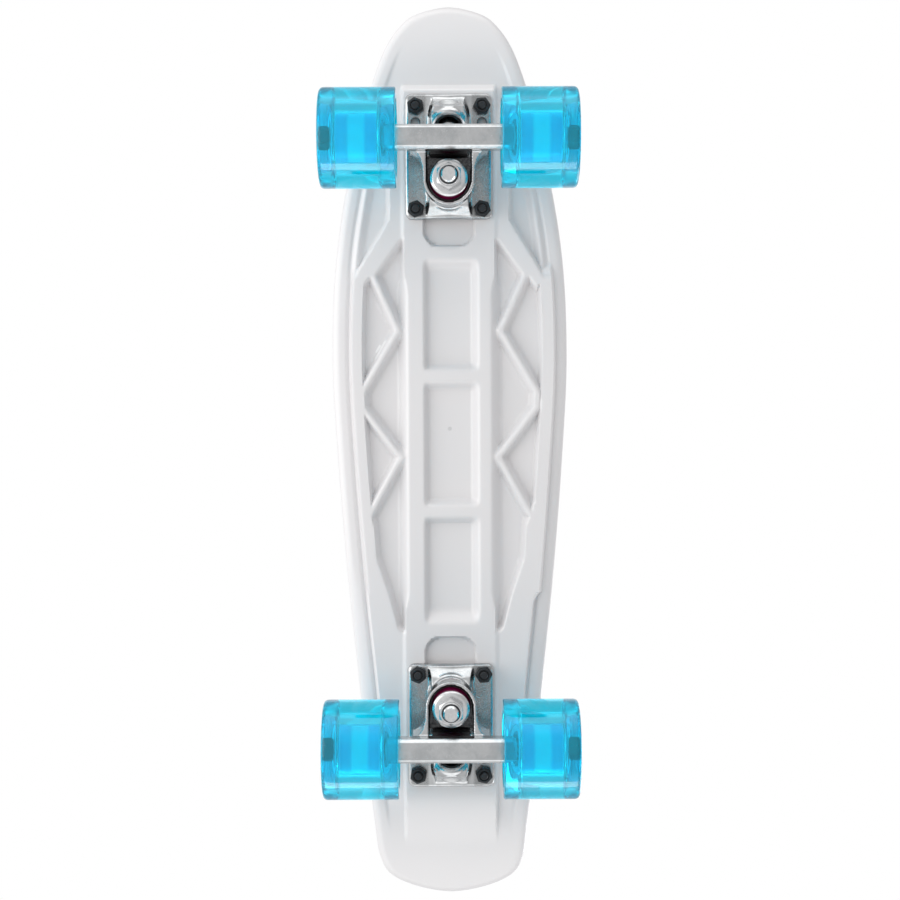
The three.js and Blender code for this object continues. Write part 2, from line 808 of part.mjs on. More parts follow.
function kingpinShape() {
  const head = ringDrop + baseTop - seatGap * 2;
  return revolve([
    [0, pinEnd],
    [kingpinRadius - seatGap * 2, pinEnd],
    [kingpinRadius, pinEnd + seatGap * 2],
    [kingpinRadius, head - kingpinHeadHeight],
    [kingpinHeadRadius, head - kingpinHeadHeight],
    [kingpinHeadRadius, head - seatGap],
    [0, head - seatGap],
  ], pinSides);
}

function cupWasherShape() {
  const bore = kingpinRadius + seatGap;
  const [low, high] = [washerFace - washerThickness, washerFace];
  return revolveRing([
    [bore, low], [washerRadius, low], [washerRadius, high + washerLip],
    [washerRadius - washerThickness / 2, high + washerLip],
    [cushionEndRadius + seatGap, high], [bore, high],
  ], cushionSides);
}

// Axle and wheels, each about Z with +Z towards the outside of the board

function axleShape() {
  const end = wheelMiddle + coreWidth / 2 + speedWasherThickness + axleNutHeight + axleEnd + seatGap;
  const chamfer = axleRadius / 6;
  return revolve([
    [0, -end], [axleRadius - chamfer, -end], [axleRadius, chamfer - end],
    [axleRadius, end - chamfer], [axleRadius - chamfer, end], [0, end],
  ], pinSides);
}

// The tyre's facets, not its corners, lie at the wheel's radius, and it stands on one of them.
function tyreShape() {
  const [half, core] = [wheelWidth / 2, coreWidth / 2];
  const bond = coreRadius + seatGap;
  const tread = wheelRadius / Math.cos(Math.PI / tyreSides);
  const eased = wheelOuterRound * (1 - Math.SQRT1_2);
  return revolveRing([
    [bond, -core], [recessRadius, -core], [lipRadius, -half],
    [tread - wheelInnerRound, -half], [tread, wheelInnerRound - half],
    [tread, half - wheelOuterRound], [tread - eased, half - eased], [tread - wheelOuterRound, half],
    [lipRadius, half], [recessRadius, core], [bond, core],
  ], tyreSides).rotateZ(Math.PI / tyreSides);
}

function coreShape() {
  const [half, stop] = [coreWidth / 2, coreWidth / 2 - bearingWidth];
  const seat = bearingRadius + seatGap;
  return revolveRing([
    [seat, -half], [coreRadius, -half], [coreRadius, half], [seat, half],
    [seat, stop], [coreStopRadius, stop], [coreStopRadius, -stop], [seat, -stop],
  ], ringSides);
}

function bearingShape() {
  const half = bearingWidth / 2 - seatGap;
  return revolveRing([
    [bearingBoreRadius, -half], [bearingRadius, -half], [bearingRadius, half], [bearingBoreRadius, half],
  ], ringSides);
}

// Inner races, the spacer between them and the two speed washers, clamped on the axle as one.
function sleeveShape() {
  const bore = axleRadius + seatGap;
  const race = bearingBoreRadius - runningGap;
  const [core, half] = [coreWidth / 2, coreWidth / 2 + speedWasherThickness - seatGap / 2];
  return revolveRing([
    [bore, -half], [speedWasherRadius, -half], [speedWasherRadius, -core], [race, -core],
    [race, core], [speedWasherRadius, core], [speedWasherRadius, half], [bore, half],
  ], pinSides);
}

function deckBoltShape() {
  const low = deckBottom + baseUnder - seatGap - deckNutHeight - boltEnd;
  const high = deckTop - seatGap * 2;
  return revolve([
    [0, low], [boltRadius - seatGap, low], [boltRadius, low + seatGap], [boltRadius, high - boltHeadHeight],
    [boltHeadRadius, high], [0, high],
  ], holeSides);
}

// Assembly

function piece(name, geometry, finish, place = {}) {
  const mesh = new THREE.Mesh(closed(geometry), finish);
  mesh.name = name;
  mesh.position.set(place.x ?? 0, place.y ?? 0, place.z ?? 0);
  mesh.rotation.y = place.turn ?? 0;
  return mesh;
}

// One wheel with its bearings, sleeve and nut, in a frame whose +Z points outwards along the axle.
function wheel(name) {
  const group = new THREE.Group();
  const bearingPlace = coreWidth / 2 - bearingWidth / 2;
  const nutPlace = coreWidth / 2 + speedWasherThickness + seatGap / 2;
  const nut = hexNut(axleNutFlats, axleNutHeight, axleRadius + seatGap, pinSides);
  group.add(
    piece(`${name}_wheel_tyre`, tyreShape(), finishes.tyre),
    piece(`${name}_wheel_core`, coreShape(), finishes.core),
    piece(`${name}_outer_bearing`, bearingShape(), finishes.steel, { z: bearingPlace }),
    piece(`${name}_inner_bearing`, bearingShape(), finishes.steel, { z: -bearingPlace }),
    piece(`${name}_bearing_sleeve`, sleeveShape(), finishes.steel),
    piece(`${name}_axle_nut`, nut, finishes.blackSteel, { z: nutPlace }),
  );
  return group;
}

// Kingpin with its nut, cup washer and two cushions, in the kingpin frame.
function kingpinStack(name) {
  const group = new THREE.Group();
  const seat = ringThickness / 2 + seatGap;
  const nut = hexNut(kingpinNutFlats, kingpinNutHeight, kingpinRadius + seatGap, pinSides);
  group.add(
    piece(`${name}_kingpin`, kingpinShape(), finishes.steel),
    piece(`${name}_kingpin_nut`, nut, finishes.steel, { z: nutFace - kingpinNutHeight }),
    piece(`${name}_cup_washer`, cupWasherShape(), finishes.steel),
    piece(`${name}_deck_side_cushion`, cushionShape(seat, bossTop), finishes.cushion),
    piece(`${name}_road_side_cushion`, cushionShape(washerFace + seatGap, -seat), finishes.cushion),
  );
  group.applyMatrix4(kingpinFrame);
  return group;
}

// A whole truck. sideNames names the wheel on its own +X side, then the one on its -X side.
function truck(name, sideNames) {
  const group = new THREE.Group();
  group.add(
    piece(`${name}_baseplate`, baseplateShape(), finishes.castMetal),
    piece(`${name}_pivot_cup`, pivotCupShape(), finishes.blackPlastic),
    piece(`${name}_hanger`, hangerShape(), finishes.castMetal),
    piece(`${name}_axle`, axleShape(), finishes.steel, { z: -axleDrop, turn: Math.PI / 2 }),
    kingpinStack(name),
  );
  sideNames.forEach((sideName, index) => {
    const side = index === 0 ? 1 : -1;
    const unit = wheel(`${name}_${sideName}`);
    unit.position.set(side * wheelMiddle, 0, -axleDrop);
    unit.rotation.y = (side * Math.PI) / 2;
    group.add(unit);
  });
  return group;
}

// Four bolts through the deck and one baseplate, with their nuts, in the board's frame.
function deckFasteners(name, middle) {
  const group = new THREE.Group();
  const nutPlace = deckBottom + baseUnder - seatGap - deckNutHeight;
  boltPlaces.forEach(([x, y], index) => {
    const nut = hexNut(deckNutFlats, deckNutHeight, boltRadius + seatGap, holeSides);
    group.add(
      piece(`${name}_deck_bolt_${index + 1}`, deckBoltShape(), finishes.blackSteel, { x, y: middle + y }),
      piece(`${name}_deck_nut_${index + 1}`, nut, finishes.blackSteel, { x, y: middle + y, z: nutPlace }),
    );
  });
  return group;
}

const board = new THREE.Group();

const frontTruck = truck("front", ["right", "left"]);
frontTruck.position.set(0, frontBolts + axleOffset, deckBottom);

const rearTruck = truck("rear", ["left", "right"]);
rearTruck.position.set(0, rearBolts - axleOffset, deckBottom);
rearTruck.rotation.z = Math.PI;

board.add(
  piece("deck", deckShape(), finishes.deck),
  frontTruck,
  rearTruck,
  deckFasteners("front", frontBolts),
  deckFasteners("rear", rearBolts),
);

export default board;
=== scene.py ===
"""Small plastic cruiser skateboard, seen from straight below.

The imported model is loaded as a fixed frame. The classes below build its deck, trucks, wheels and bolts as
detailed pieces, dress them, and set up the studio. Sizes are in millimetres in the board's own frame: the
ground is z = 0, the board runs along Y and its nose points to +Y.
"""

import logging
import math
from dataclasses import dataclass
from enum import Enum
from typing import Callable, Sequence

import bmesh
import bpy
import numpy as np
from mathutils import Matrix, Vector


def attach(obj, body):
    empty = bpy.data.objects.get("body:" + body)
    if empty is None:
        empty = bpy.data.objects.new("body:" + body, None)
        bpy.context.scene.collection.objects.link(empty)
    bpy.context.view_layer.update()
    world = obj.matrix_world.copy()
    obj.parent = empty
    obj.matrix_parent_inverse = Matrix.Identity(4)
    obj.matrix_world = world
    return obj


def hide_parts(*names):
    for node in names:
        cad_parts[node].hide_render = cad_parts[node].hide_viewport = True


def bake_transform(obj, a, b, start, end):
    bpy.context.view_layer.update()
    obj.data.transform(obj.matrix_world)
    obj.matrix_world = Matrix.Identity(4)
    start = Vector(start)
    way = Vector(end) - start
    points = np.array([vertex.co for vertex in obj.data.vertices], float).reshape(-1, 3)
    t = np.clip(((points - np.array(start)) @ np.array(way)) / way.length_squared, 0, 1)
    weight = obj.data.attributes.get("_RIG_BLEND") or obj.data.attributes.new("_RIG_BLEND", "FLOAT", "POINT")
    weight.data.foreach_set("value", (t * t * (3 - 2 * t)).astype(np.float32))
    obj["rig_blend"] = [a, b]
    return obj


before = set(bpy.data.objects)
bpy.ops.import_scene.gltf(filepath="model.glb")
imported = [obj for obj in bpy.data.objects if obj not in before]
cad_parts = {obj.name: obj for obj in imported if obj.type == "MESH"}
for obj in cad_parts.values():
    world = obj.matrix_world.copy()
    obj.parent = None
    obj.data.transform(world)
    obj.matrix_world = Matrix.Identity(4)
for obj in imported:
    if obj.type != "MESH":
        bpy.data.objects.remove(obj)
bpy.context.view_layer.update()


log = logging.getLogger("cruiser")
MM = 0.001
BOLT_SPREAD = (20.65, 31.75)
FRONT_BOLTS = 189.0
REAR_BOLTS = -165.6
Point = tuple[float, float]
Spot = tuple[float, float, float]
Colour = tuple[float, float, float]


# Shader values and graphs


@dataclass
class Value:
    """A shader socket that can be written into sums like a number."""

    graph: "Graph"
    socket: bpy.types.NodeSocket

    def _maths(self, operation: str, *operands: "Value | float") -> "Value":
        """Returns the result of one Math node."""
        return self.graph.value("ShaderNodeMath", {"operation": operation}, dict(enumerate(operands)))

    def __add__(self, other: "Value | float") -> "Value":
        """Returns the sum."""
        return self._maths("ADD", self, other)

    def __radd__(self, other: float) -> "Value":
        """Returns the sum with a number on the left."""
        return self._maths("ADD", other, self)

    def __sub__(self, other: "Value | float") -> "Value":
        """Returns the difference."""
        return self._maths("SUBTRACT", self, other)

    def __rsub__(self, other: float) -> "Value":
        """Returns the difference from a number on the left."""
        return self._maths("SUBTRACT", other, self)

    def __mul__(self, other: "Value | float") -> "Value":
        """Returns the product."""
        return self._maths("MULTIPLY", self, other)

    def __abs__(self) -> "Value":
        """Returns the size without its sign."""
        return self._maths("ABSOLUTE", self)

    def step(self, low: float, high: float) -> "Value":
        """Returns 0 below low and 1 above high, eased in between."""
        inputs = {"Value": self, "From Min": low, "From Max": high}
        return self.graph.value("ShaderNodeMapRange", {"interpolation_type": "SMOOTHSTEP"}, inputs)


class Graph:
    """The node graph of one material."""

    def __init__(self, name: str) -> None:
        """Starts an empty graph.

        Args:
            name: The name of what the graph belongs to.
        """
        self.owner = self.new_owner(name)
        self.owner.use_nodes = True
        self.tree = self.owner.node_tree
        self.tree.nodes.clear()

    def new_owner(self, name: str) -> bpy.types.ID:
        """Returns a new material."""
        return bpy.data.materials.new(name)

    def node(self, kind: str, settings: dict[str, object] | None = None,
             inputs: dict[str | int, object] | None = None) -> bpy.types.Node:
        """Adds one node.

        Args:
            kind: The node's type.
            settings: Its settings.
            inputs: Numbers, colours, sockets or values for its inputs, by name or index.

        Returns:
            The node.
        """
        node = self.tree.nodes.new(kind)
        for key, setting in (settings or {}).items():
            setattr(node, key, setting)
        for key, given in (inputs or {}).items():
            socket = node.inputs[key]
            if isinstance(given, Value):
                self.tree.links.new(given.socket, socket)
            elif isinstance(given, bpy.types.NodeSocket):
                self.tree.links.new(given, socket)
            elif socket.type == "RGBA":
                socket.default_value = (*given, 1.0)
            else:
                socket.default_value = given
        return node

    def value(self, kind: str, settings: dict[str, object] | None = None,
              inputs: dict[str | int, object] | None = None, output: str | int = 0) -> Value:
        """Adds one node and wraps one of its outputs.

        Args:
            kind: The node's type.
            settings: As for node.
            inputs: As for node.
            output: Name or index of the output.

        Returns:
            The output as a value.
        """
        return Value(self, self.node(kind, settings, inputs).outputs[output])

    def place(self) -> Value:
        """Returns the point on the object, in metres."""
        return self.value("ShaderNodeTexCoord", output="Object")

    def coordinates(self, vector: Value) -> list[Value]:
        """Returns the three coordinates of a vector."""
        split = self.node("ShaderNodeSeparateXYZ", None, {0: vector})
        return [Value(self, output) for output in split.outputs]

    def noise(self, size: float, detail: float, roughness: float = 0.5, stretch: Spot = (1, 1, 1)) -> Value:
        """Adds a cloudy pattern.

        Args:
            size: Rough size of one patch in millimetres.
            detail: How many finer layers it has.
            roughness: How strong the finer layers are.
            stretch: How much denser it is along each axis.

        Returns:
            A value around 0.5.
        """
        scale = tuple(1 / MM / size * s for s in stretch)
        place = self.value("ShaderNodeMapping", None, {"Vector": self.place(), "Scale": scale})
        inputs = {"Vector": place, "Scale": 1.0, "Detail": detail, "Roughness": roughness}
        return self.value("ShaderNodeTexNoise", None, inputs, "Fac")

    def attribute(self, name: str) -> Value:
        """Returns a number stored on the mesh."""
        return self.value("ShaderNodeAttribute", {"attribute_name": name}, None, "Fac")

    def blend(self, share: Value, first: Value | Colour, second: Value | Colour) -> Value:
        """Returns the first colour at a share of 0, the second at 1 and their mixture in between."""
        return self.value("ShaderNodeMix", {"data_type": "RGBA"}, {0: share, 6: first, 7: second}, 2)

    def bump(self, height: Value, depth: float, strength: float) -> Value:
        """Adds a bump.

        Args:
            height: Pattern from 0 to 1.
            depth: Height of the pattern in millimetres.
            strength: How much of it shows.

        Returns:
            The bent normal.
        """
        inputs = {"Height": height, "Distance": depth * MM, "Strength": strength}
        return self.value("ShaderNodeBump", None, inputs)

    def surface(self, **inputs: object) -> bpy.types.Material:
        """Adds the surface shader and the output.

        Args:
            **inputs: The shader's sockets, with underscores for spaces.

        Returns:
            The finished material.
        """
        named = {key.replace("_", " "): given for key, given in inputs.items()}
        shader = self.node("ShaderNodeBsdfPrincipled", None, named)
        self.node("ShaderNodeOutputMaterial", None, {"Surface": shader.outputs[0]})
        return self.owner


class SkyGraph(Graph):
    """The node graph of the surroundings."""

    def new_owner(self, name: str) -> bpy.types.ID:
        """Returns new surroundings, put in the scene."""
        bpy.context.scene.world = bpy.data.worlds.new(name)
        return bpy.context.scene.world

    def directions(self) -> list[Value]:
        """Returns the three coordinates of the direction that is looked in."""
        return self.coordinates(self.value("ShaderNodeTexCoord", output="Generated"))


# Finishes


@dataclass(frozen=True)
class DeckPlastic:
    """Glossy moulded plastic of the deck, with the small marks of its underside.

    The gate mark fades between two squares of its radius. Each scratch has its offset and half its length.
    """

    name: str = "deck_plastic"
    colour: Colour = (0.778, 0.767, 0.772)
    cool: Colour = (0.735, 0.726, 0.738)
    warm: Colour = (0.795, 0.774, 0.783)
    roughness: float = 0.27
    upper_side: Point = (90.4, 90.9)
    gate: Point = (0.0, 20.3)
    gate_fade: Point = (0.6, 2.6)
    gate_grey: Colour = (0.50, 0.50, 0.51)
    gate_share: float = 0.5
    gate_sink: float = 4.0
    scratch: Point = (43.7, 70.1)
    scratch_turn: float = -1.063
    scratches: Sequence[Point] = ((0.0, 8.1), (1.6, 3.2))
    scratch_fade: Point = (0.3, 0.9)
    scratch_taper: float = 0.7
    # Painted highlight colour of the scratches' white strokes.
    scratch_highlight: Colour = (0.95, 0.95, 0.95)
    scratch_share: float = 0.9
    scratch_burr: float = 2.0

    def marks(self, g: Graph) -> tuple[Value, Value]:
        """Adds the small marks of the underside.

        Args:
            g: The material's graph.

        Returns:
            The gate mark in the channel and the scratches beside the ribs, each from 0 to 1.
        """
        x, y, z = (coordinate * (1 / MM) for coordinate in g.coordinates(g.place()))
        under = 1.0 - z.step(*self.upper_side)
        across, along = x - self.gate[0], y - self.gate[1]
        gate = (1.0 - (across * across + along * along).step(*self.gate_fade)) * under
        across, along = x - self.scratch[0], y - self.scratch[1]
        lean, rise = math.cos(self.scratch_turn), math.sin(self.scratch_turn)
        length, side = across * lean + along * rise, along * lean - across * rise
        long, short = (
            (1.0 - abs(side - offset).step(*self.scratch_fade))
            * (1.0 - abs(length).step(reach * self.scratch_taper, reach))
            for offset, reach in self.scratches)
        return gate, (long + short) * under

    def material(self) -> bpy.types.Material:
        """Returns the material."""
        g = Graph(self.name)
        cloud = g.noise(70.0, 2.0)
        flow = g.noise(26.0, 3.0, 0.6, (1.0, 0.22, 1.0))
        base = g.blend(cloud.step(0.35, 0.75) * 0.25, self.colour, self.cool)
        base = g.blend(flow.step(0.5, 0.8) * 0.3, base, self.warm)
        scuffs = g.noise(3.0, 5.0, 0.7, (1.0, 0.12, 1.0)).step(0.66, 0.8)
        rough = self.roughness + flow * 0.08 + scuffs * 0.12
        gate, scratches = self.marks(g)
        # The scratches are real marks; their white strokes are painted highlights where they catch the light.
        base = g.blend(scratches * self.scratch_share, base, self.scratch_highlight)
        base = g.blend(gate * self.gate_share, base, self.gate_grey)
        skin = g.noise(5.5, 2.0, 0.4) - gate * self.gate_sink + scratches * self.scratch_burr
        return g.surface(Base_Color=base, Roughness=rough, Normal=g.bump(skin, 0.05, 0.5), IOR=1.49,
                         Coat_Weight=0.25, Coat_Roughness=0.12)


@dataclass(frozen=True)
class FloorPaper:
    """Pale floor that shows only from above, so that the board is also seen from below."""

    name: str = "floor_paper"
    colour: Colour = (0.86, 0.86, 0.865)
    cool: Colour = (0.83, 0.835, 0.845)
    roughness: float = 0.75

    def material(self) -> bpy.types.Material:
        """Returns the material."""
        g = Graph(self.name)
        base = g.blend(g.noise(420.0, 3.0).step(0.3, 0.7) * 0.3, self.colour, self.cool)
        paper = g.node("ShaderNodeBsdfPrincipled", None, {"Base Color": base, "Roughness": self.roughness})
        clear = g.node("ShaderNodeBsdfTransparent")
        below = g.node("ShaderNodeNewGeometry").outputs["Backfacing"]
        mix = g.node("ShaderNodeMixShader", None, {0: below, 1: paper.outputs[0], 2: clear.outputs[0]})
        g.node("ShaderNodeOutputMaterial", None, {"Surface": mix.outputs[0]})
        return g.owner


@dataclass(frozen=True)
class PolishedCasting:
    """Tumbled and polished aluminium of the hangers and baseplates, with painted shade in its recesses."""

    name: str = "polished_casting"
    colour: Colour = (0.60, 0.61, 0.615)
    shade: Colour = (0.43, 0.45, 0.46)
    # Near-black colour of the painted shade in the recesses.
    painted_shade: Colour = (0.035, 0.036, 0.038)
    pore_grey: Colour = (0.30, 0.31, 0.32)
    roughness: float = 0.17

    def material(self) -> bpy.types.Material:
        """Returns the material."""
        g = Graph(self.name)
        cloud = g.noise(9.0, 4.0, 0.6)
        pores = g.noise(0.9, 3.0, 0.7).step(0.62, 0.76)
        base = g.blend(cloud.step(0.35, 0.7) * 0.55, self.colour, self.shade)
        base = g.blend(pores * 0.35, base, self.pore_grey)
        recess = g.attribute("recess")
        grit = g.noise(0.8, 3.0, 0.7).step(0.4, 0.7)
        # The recess mark paints near-black shade over the metal in hollows and on low panels; its extra
        # roughness is real.
        base = g.blend(recess * (0.8 + grit * 0.2), base, self.painted_shade)
        rough = self.roughness + cloud * 0.08 + pores * 0.2 + recess * (0.12 + grit * 0.2)
        ripple = g.noise(4.5, 3.0) + pores * -0.12 + grit * recess * 0.15
        normal = g.bump(ripple, 0.2, 0.5)
        return g.surface(Base_Color=base, Metallic=1.0, Roughness=rough, Normal=normal)


@dataclass(frozen=True)
class PlatedSteel:
    """Bright plated steel of the kingpin, washers, bearings and axle."""

    name: str = "plated_steel"
    colour: Colour = (0.74, 0.745, 0.75)
    shade: Colour = (0.55, 0.56, 0.58)
    roughness: float = 0.14

    def material(self) -> bpy.types.Material:
        """Returns the material."""
        g = Graph(self.name)
        cloud = g.noise(2.4, 4.0, 0.6)
        turned = g.noise(0.35, 2.0, 0.5, (1.0, 1.0, 0.25))
        base = g.blend(cloud.step(0.4, 0.75) * 0.4, self.colour, self.shade)
        rough = self.roughness + turned * 0.12 + cloud * 0.06
        return g.surface(Base_Color=base, Metallic=1.0, Roughness=rough, Normal=g.bump(cloud, 0.05, 0.5))


@dataclass(frozen=True)
class BlackSteel:
    """Blackened steel of the deck bolts, their nuts and the axle nuts."""

    name: str = "black_steel"
    colour: Colour = (0.006, 0.007, 0.009)
    worn: Colour = (0.032, 0.033, 0.036)
    roughness: float = 0.36

    def material(self) -> bpy.types.Material:
        """Returns the material."""
        g = Graph(self.name)
        cloud = g.noise(1.6, 4.0, 0.65)
        base = g.blend(cloud.step(0.55, 0.75) * 0.6, self.colour, self.worn)
        return g.surface(Base_Color=base, Metallic=0.2, Roughness=self.roughness + cloud * 0.22,
                         Normal=g.bump(cloud, 0.07, 0.7), Specular_IOR_Level=0.3)


@dataclass(frozen=True)
class HardPlastic:
    """Dull dark plastic of the pivot cups and the nuts' locking rings."""

    name: str = "pivot_plastic"
    colour: Colour = (0.012, 0.012, 0.014)
    roughness: float = 0.42

    def material(self) -> bpy.types.Material:
        """Returns the material."""
        g = Graph(self.name)
        cloud = g.noise(3.0, 3.0)
        worn = tuple(c * 1.8 + 0.004 for c in self.colour)
        base = g.blend(cloud.step(0.4, 0.7) * 0.5, self.colour, worn)
        return g.surface(Base_Color=base, Roughness=self.roughness + cloud * 0.15,
                         Normal=g.bump(g.noise(0.5, 2.0), 0.03, 0.6))


@dataclass(frozen=True)
class CushionUrethane:
    """Wine-red elastic urethane of the cushions."""

    name: str = "cushion_urethane"
    colour: Colour = (0.16, 0.004, 0.045)
    deep: Colour = (0.09, 0.0, 0.03)
    roughness: float = 0.24
    glow_reach: Spot = (0.004, 0.0006, 0.001)

    def material(self) -> bpy.types.Material:
        """Returns the material."""
        g = Graph(self.name)
        cloud = g.noise(7.0, 3.0)
        base = g.blend(cloud.step(0.35, 0.7), self.colour, self.deep)
        return g.surface(Base_Color=base, Roughness=self.roughness + cloud * 0.16, IOR=1.5,
                         Normal=g.bump(g.noise(1.4, 2.0), 0.05, 0.5), Coat_Weight=0.2, Subsurface_Weight=0.15,
                         Subsurface_Radius=self.glow_reach)


@dataclass(frozen=True)
class WheelUrethane:
    """Clear blue cast urethane of the tyres, with a faint painted glow."""

    name: str = "wheel_urethane"
    colour: Colour = (0.003, 0.71, 0.92)
    deep: Colour = (0.001, 0.61, 0.87)
    roughness: float = 0.02
    # Strength of the tyre's painted glow.
    glow: float = 0.02

    def material(self) -> bpy.types.Material:
        """Returns the material."""
        g = Graph(self.name)
        cloud = g.noise(16.0, 3.0)
        base = g.blend(cloud.step(0.3, 0.7) * 0.6, self.colour, self.deep)
        wear = g.noise(2.2, 4.0, 0.65, (0.3, 1.0, 1.0)).step(0.6, 0.8)
        # Emission gives the tyre a faint painted glow in its own colour.
        return g.surface(Base_Color=base, Roughness=self.roughness + wear * 0.05, IOR=1.48,
                         Normal=g.bump(cloud, 0.05, 0.3), Transmission_Weight=0.88, Specular_IOR_Level=0.24,
                         Emission_Color=base, Emission_Strength=self.glow)


@dataclass(frozen=True)
class CorePlastic:
    """Cyan rigid plastic of the wheel cores, its middle web given a painted highlight and a painted glow."""

    name: str = "core_plastic"
    # Near-white painted highlight colour of the core's middle web.
    web: Colour = (0.56, 1.0, 0.98)
    seat: Colour = (0.09, 0.66, 0.84)
    deep: Colour = (0.05, 0.58, 0.82)
    roughness: float = 0.32
    # Strength of the core's painted glow.
    glow: float = 0.31

    def material(self) -> bpy.types.Material:
        """Returns the material."""
        g = Graph(self.name)
        cloud = g.noise(6.0, 3.0)
        base = g.blend(cloud.step(0.35, 0.75) * 0.6, self.seat, self.deep)
        # The web mark paints the middle of the core far lighter than its ends: a painted highlight.
        base = g.blend(g.attribute("web") * (1.0 - cloud * 0.15), base, self.web)
        # Emission makes the core glow with painted light.
        return g.surface(Base_Color=base, Roughness=self.roughness + cloud * 0.1, IOR=1.5,
                         Normal=g.bump(g.noise(1.0, 2.0), 0.03, 0.4), Emission_Color=base,
                         Emission_Strength=self.glow)


class Dress(Enum):
    """The finishes, each with the slot that it belongs to."""

    DECK = ("deck", DeckPlastic())
    CASTING = ("cast_metal", PolishedCasting())
    STEEL = ("steel", PlatedSteel())
    AXLE_STEEL = ("steel", PlatedSteel("axle_steel", (0.60, 0.60, 0.61), (0.42, 0.43, 0.45), 0.24))
    BLACK = ("black_steel", BlackSteel())
    PIVOT = ("pivot_plastic", HardPlastic())
    LOCK_RING = ("pivot_plastic", HardPlastic("lock_ring_plastic", (0.03, 0.032, 0.036), 0.35))
    CUSHION = ("cushion", CushionUrethane())
    TYRE = ("tyre", WheelUrethane())
    CORE = ("wheel_core", CorePlastic())

    @property
    def slot(self) -> str:
        """Name of the slot."""
        return self.value[0]

    @property
    def material(self) -> bpy.types.Material:
        """The material, made once."""
        return bpy.data.materials.get(self.value[1].name) or self.value[1].material()


# Shaping


def eased(share: np.ndarray | float) -> np.ndarray:
    """Returns 0 below 0, 1 above 1 and a soft S in between."""
    s = np.clip(share, 0.0, 1.0)
    return s * s * (3.0 - 2.0 * s)


def inside_distance(x: np.ndarray, y: np.ndarray, corners: Sequence[Point]) -> np.ndarray:
    """Measures how far points lie inside a plan shape.

    Args:
        x: Places across.
        y: Places along.
        corners: The shape's corners in order.

    Returns:
        Distance to the shape's edge, positive inside.
    """
    nearest = np.full(x.shape, 1e9)
    inside = np.zeros(x.shape, bool)
    for (ax, ay), (bx, by) in zip(corners, [*corners[1:], corners[0]]):
        nearest = np.minimum(nearest, line_distance(x, y, (ax, ay), (bx, by)))
        if ay != by:
            inside ^= ((ay > y) != (by > y)) & (x < (bx - ax) * (y - ay) / (by - ay) + ax)
    return np.where(inside, nearest, -nearest)


def line_distance(x: np.ndarray, y: np.ndarray, start: Point, end: Point) -> np.ndarray:
    """Returns the distance of points from one straight line's stretch."""
    (ax, ay), (bx, by) = start, end
    long = (bx - ax) ** 2 + (by - ay) ** 2
    share = np.clip(((x - ax) * (bx - ax) + (y - ay) * (by - ay)) / max(long, 1e-9), 0.0, 1.0)
    return np.hypot(x - ax - share * (bx - ax), y - ay - share * (by - ay))


def passing(s: np.ndarray, start: float, end: float, first: np.ndarray, last: np.ndarray) -> np.ndarray:
    """Returns the points at s of a line that is at its first point at start and at its last at end."""
    return (end - s) / (end - start) * first + (s - start) / (end - start) * last


def solid_mesh(name: str, bm: bmesh.types.BMesh, scale: float = MM) -> bpy.types.Object:
    """Turns a bmesh in millimetres into an object at the origin.

    Args:
        name: The object's name.
        bm: The shape, freed afterwards.
        scale: Metres per unit.

    Returns:
        The object.
    """
    bmesh.ops.scale(bm, vec=(scale, scale, scale), verts=bm.verts)
    mesh = bpy.data.meshes.new(name)
    bm.to_mesh(mesh)
    bm.free()
    piece = bpy.data.objects.new(name, mesh)
    bpy.context.scene.collection.objects.link(piece)
    return piece


def apply_modifiers(piece: bpy.types.Object) -> None:
    """Replaces a piece's mesh by what its modifiers make of it."""
    graph = bpy.context.evaluated_depsgraph_get()
    made = bpy.data.meshes.new_from_object(piece.evaluated_get(graph))
    old = piece.data
    piece.modifiers.clear()
    piece.data = made
    made.name = piece.name
    bpy.data.meshes.remove(old)


class Meeting(Enum):
    """What is left where two closed shapes meet."""

    TAKEN_OUT = "DIFFERENCE"
    COMMON = "INTERSECT"


def cut(piece: bpy.types.Object, cutter: bpy.types.Object, leave: Meeting = Meeting.TAKEN_OUT) -> None:
    """Cuts a piece by one closed shape and deletes the cutter.

    Args:
        piece: The piece.
        cutter: The closed shape.
        leave: Whether the cutter is taken out or only the common part stays.
    """
    modifier = piece.modifiers.new("cut", "BOOLEAN")
    modifier.operation = leave.value
    modifier.solver = "MANIFOLD"
    modifier.object = cutter
    apply_modifiers(piece)
    shape = cutter.data
    bpy.data.objects.remove(cutter)
    bpy.data.meshes.remove(shape)


def face_outwards(bm: bmesh.types.BMesh) -> None:
    """Turns all faces of a closed shape outwards."""
    bmesh.ops.recalc_face_normals(bm, faces=bm.faces)
    if bm.calc_volume(signed=True) < 0:
        bmesh.ops.reverse_faces(bm, faces=bm.faces)


def spin(bm: bmesh.types.BMesh, profile: Sequence[Point], sides: int, place: Matrix) -> None:
    """Turns a profile about Z and adds it to a shape.

    Args:
        bm: The shape that it is added to.
        profile: Points as radius and height. It closes on itself unless both ends are on the axis.
        sides: Steps round the turn.
        place: Where the turned form goes.
    """
    part = bmesh.new()
    points = [part.verts.new((radius, 0.0, height)) for radius, height in profile]
    edges = [part.edges.new(pair) for pair in zip(points, points[1:])]
    if profile[0][0] > 1e-6 or profile[-1][0] > 1e-6:
        edges.append(part.edges.new((points[-1], points[0])))
    bmesh.ops.spin(part, geom=points + edges, cent=(0, 0, 0), axis=(0, 0, 1), angle=math.tau, steps=sides,
                   use_merge=True)
    bmesh.ops.remove_doubles(part, verts=part.verts, dist=1e-4)
    face_outwards(part)
    bmesh.ops.transform(part, matrix=place, verts=part.verts)
    join(bm, part)


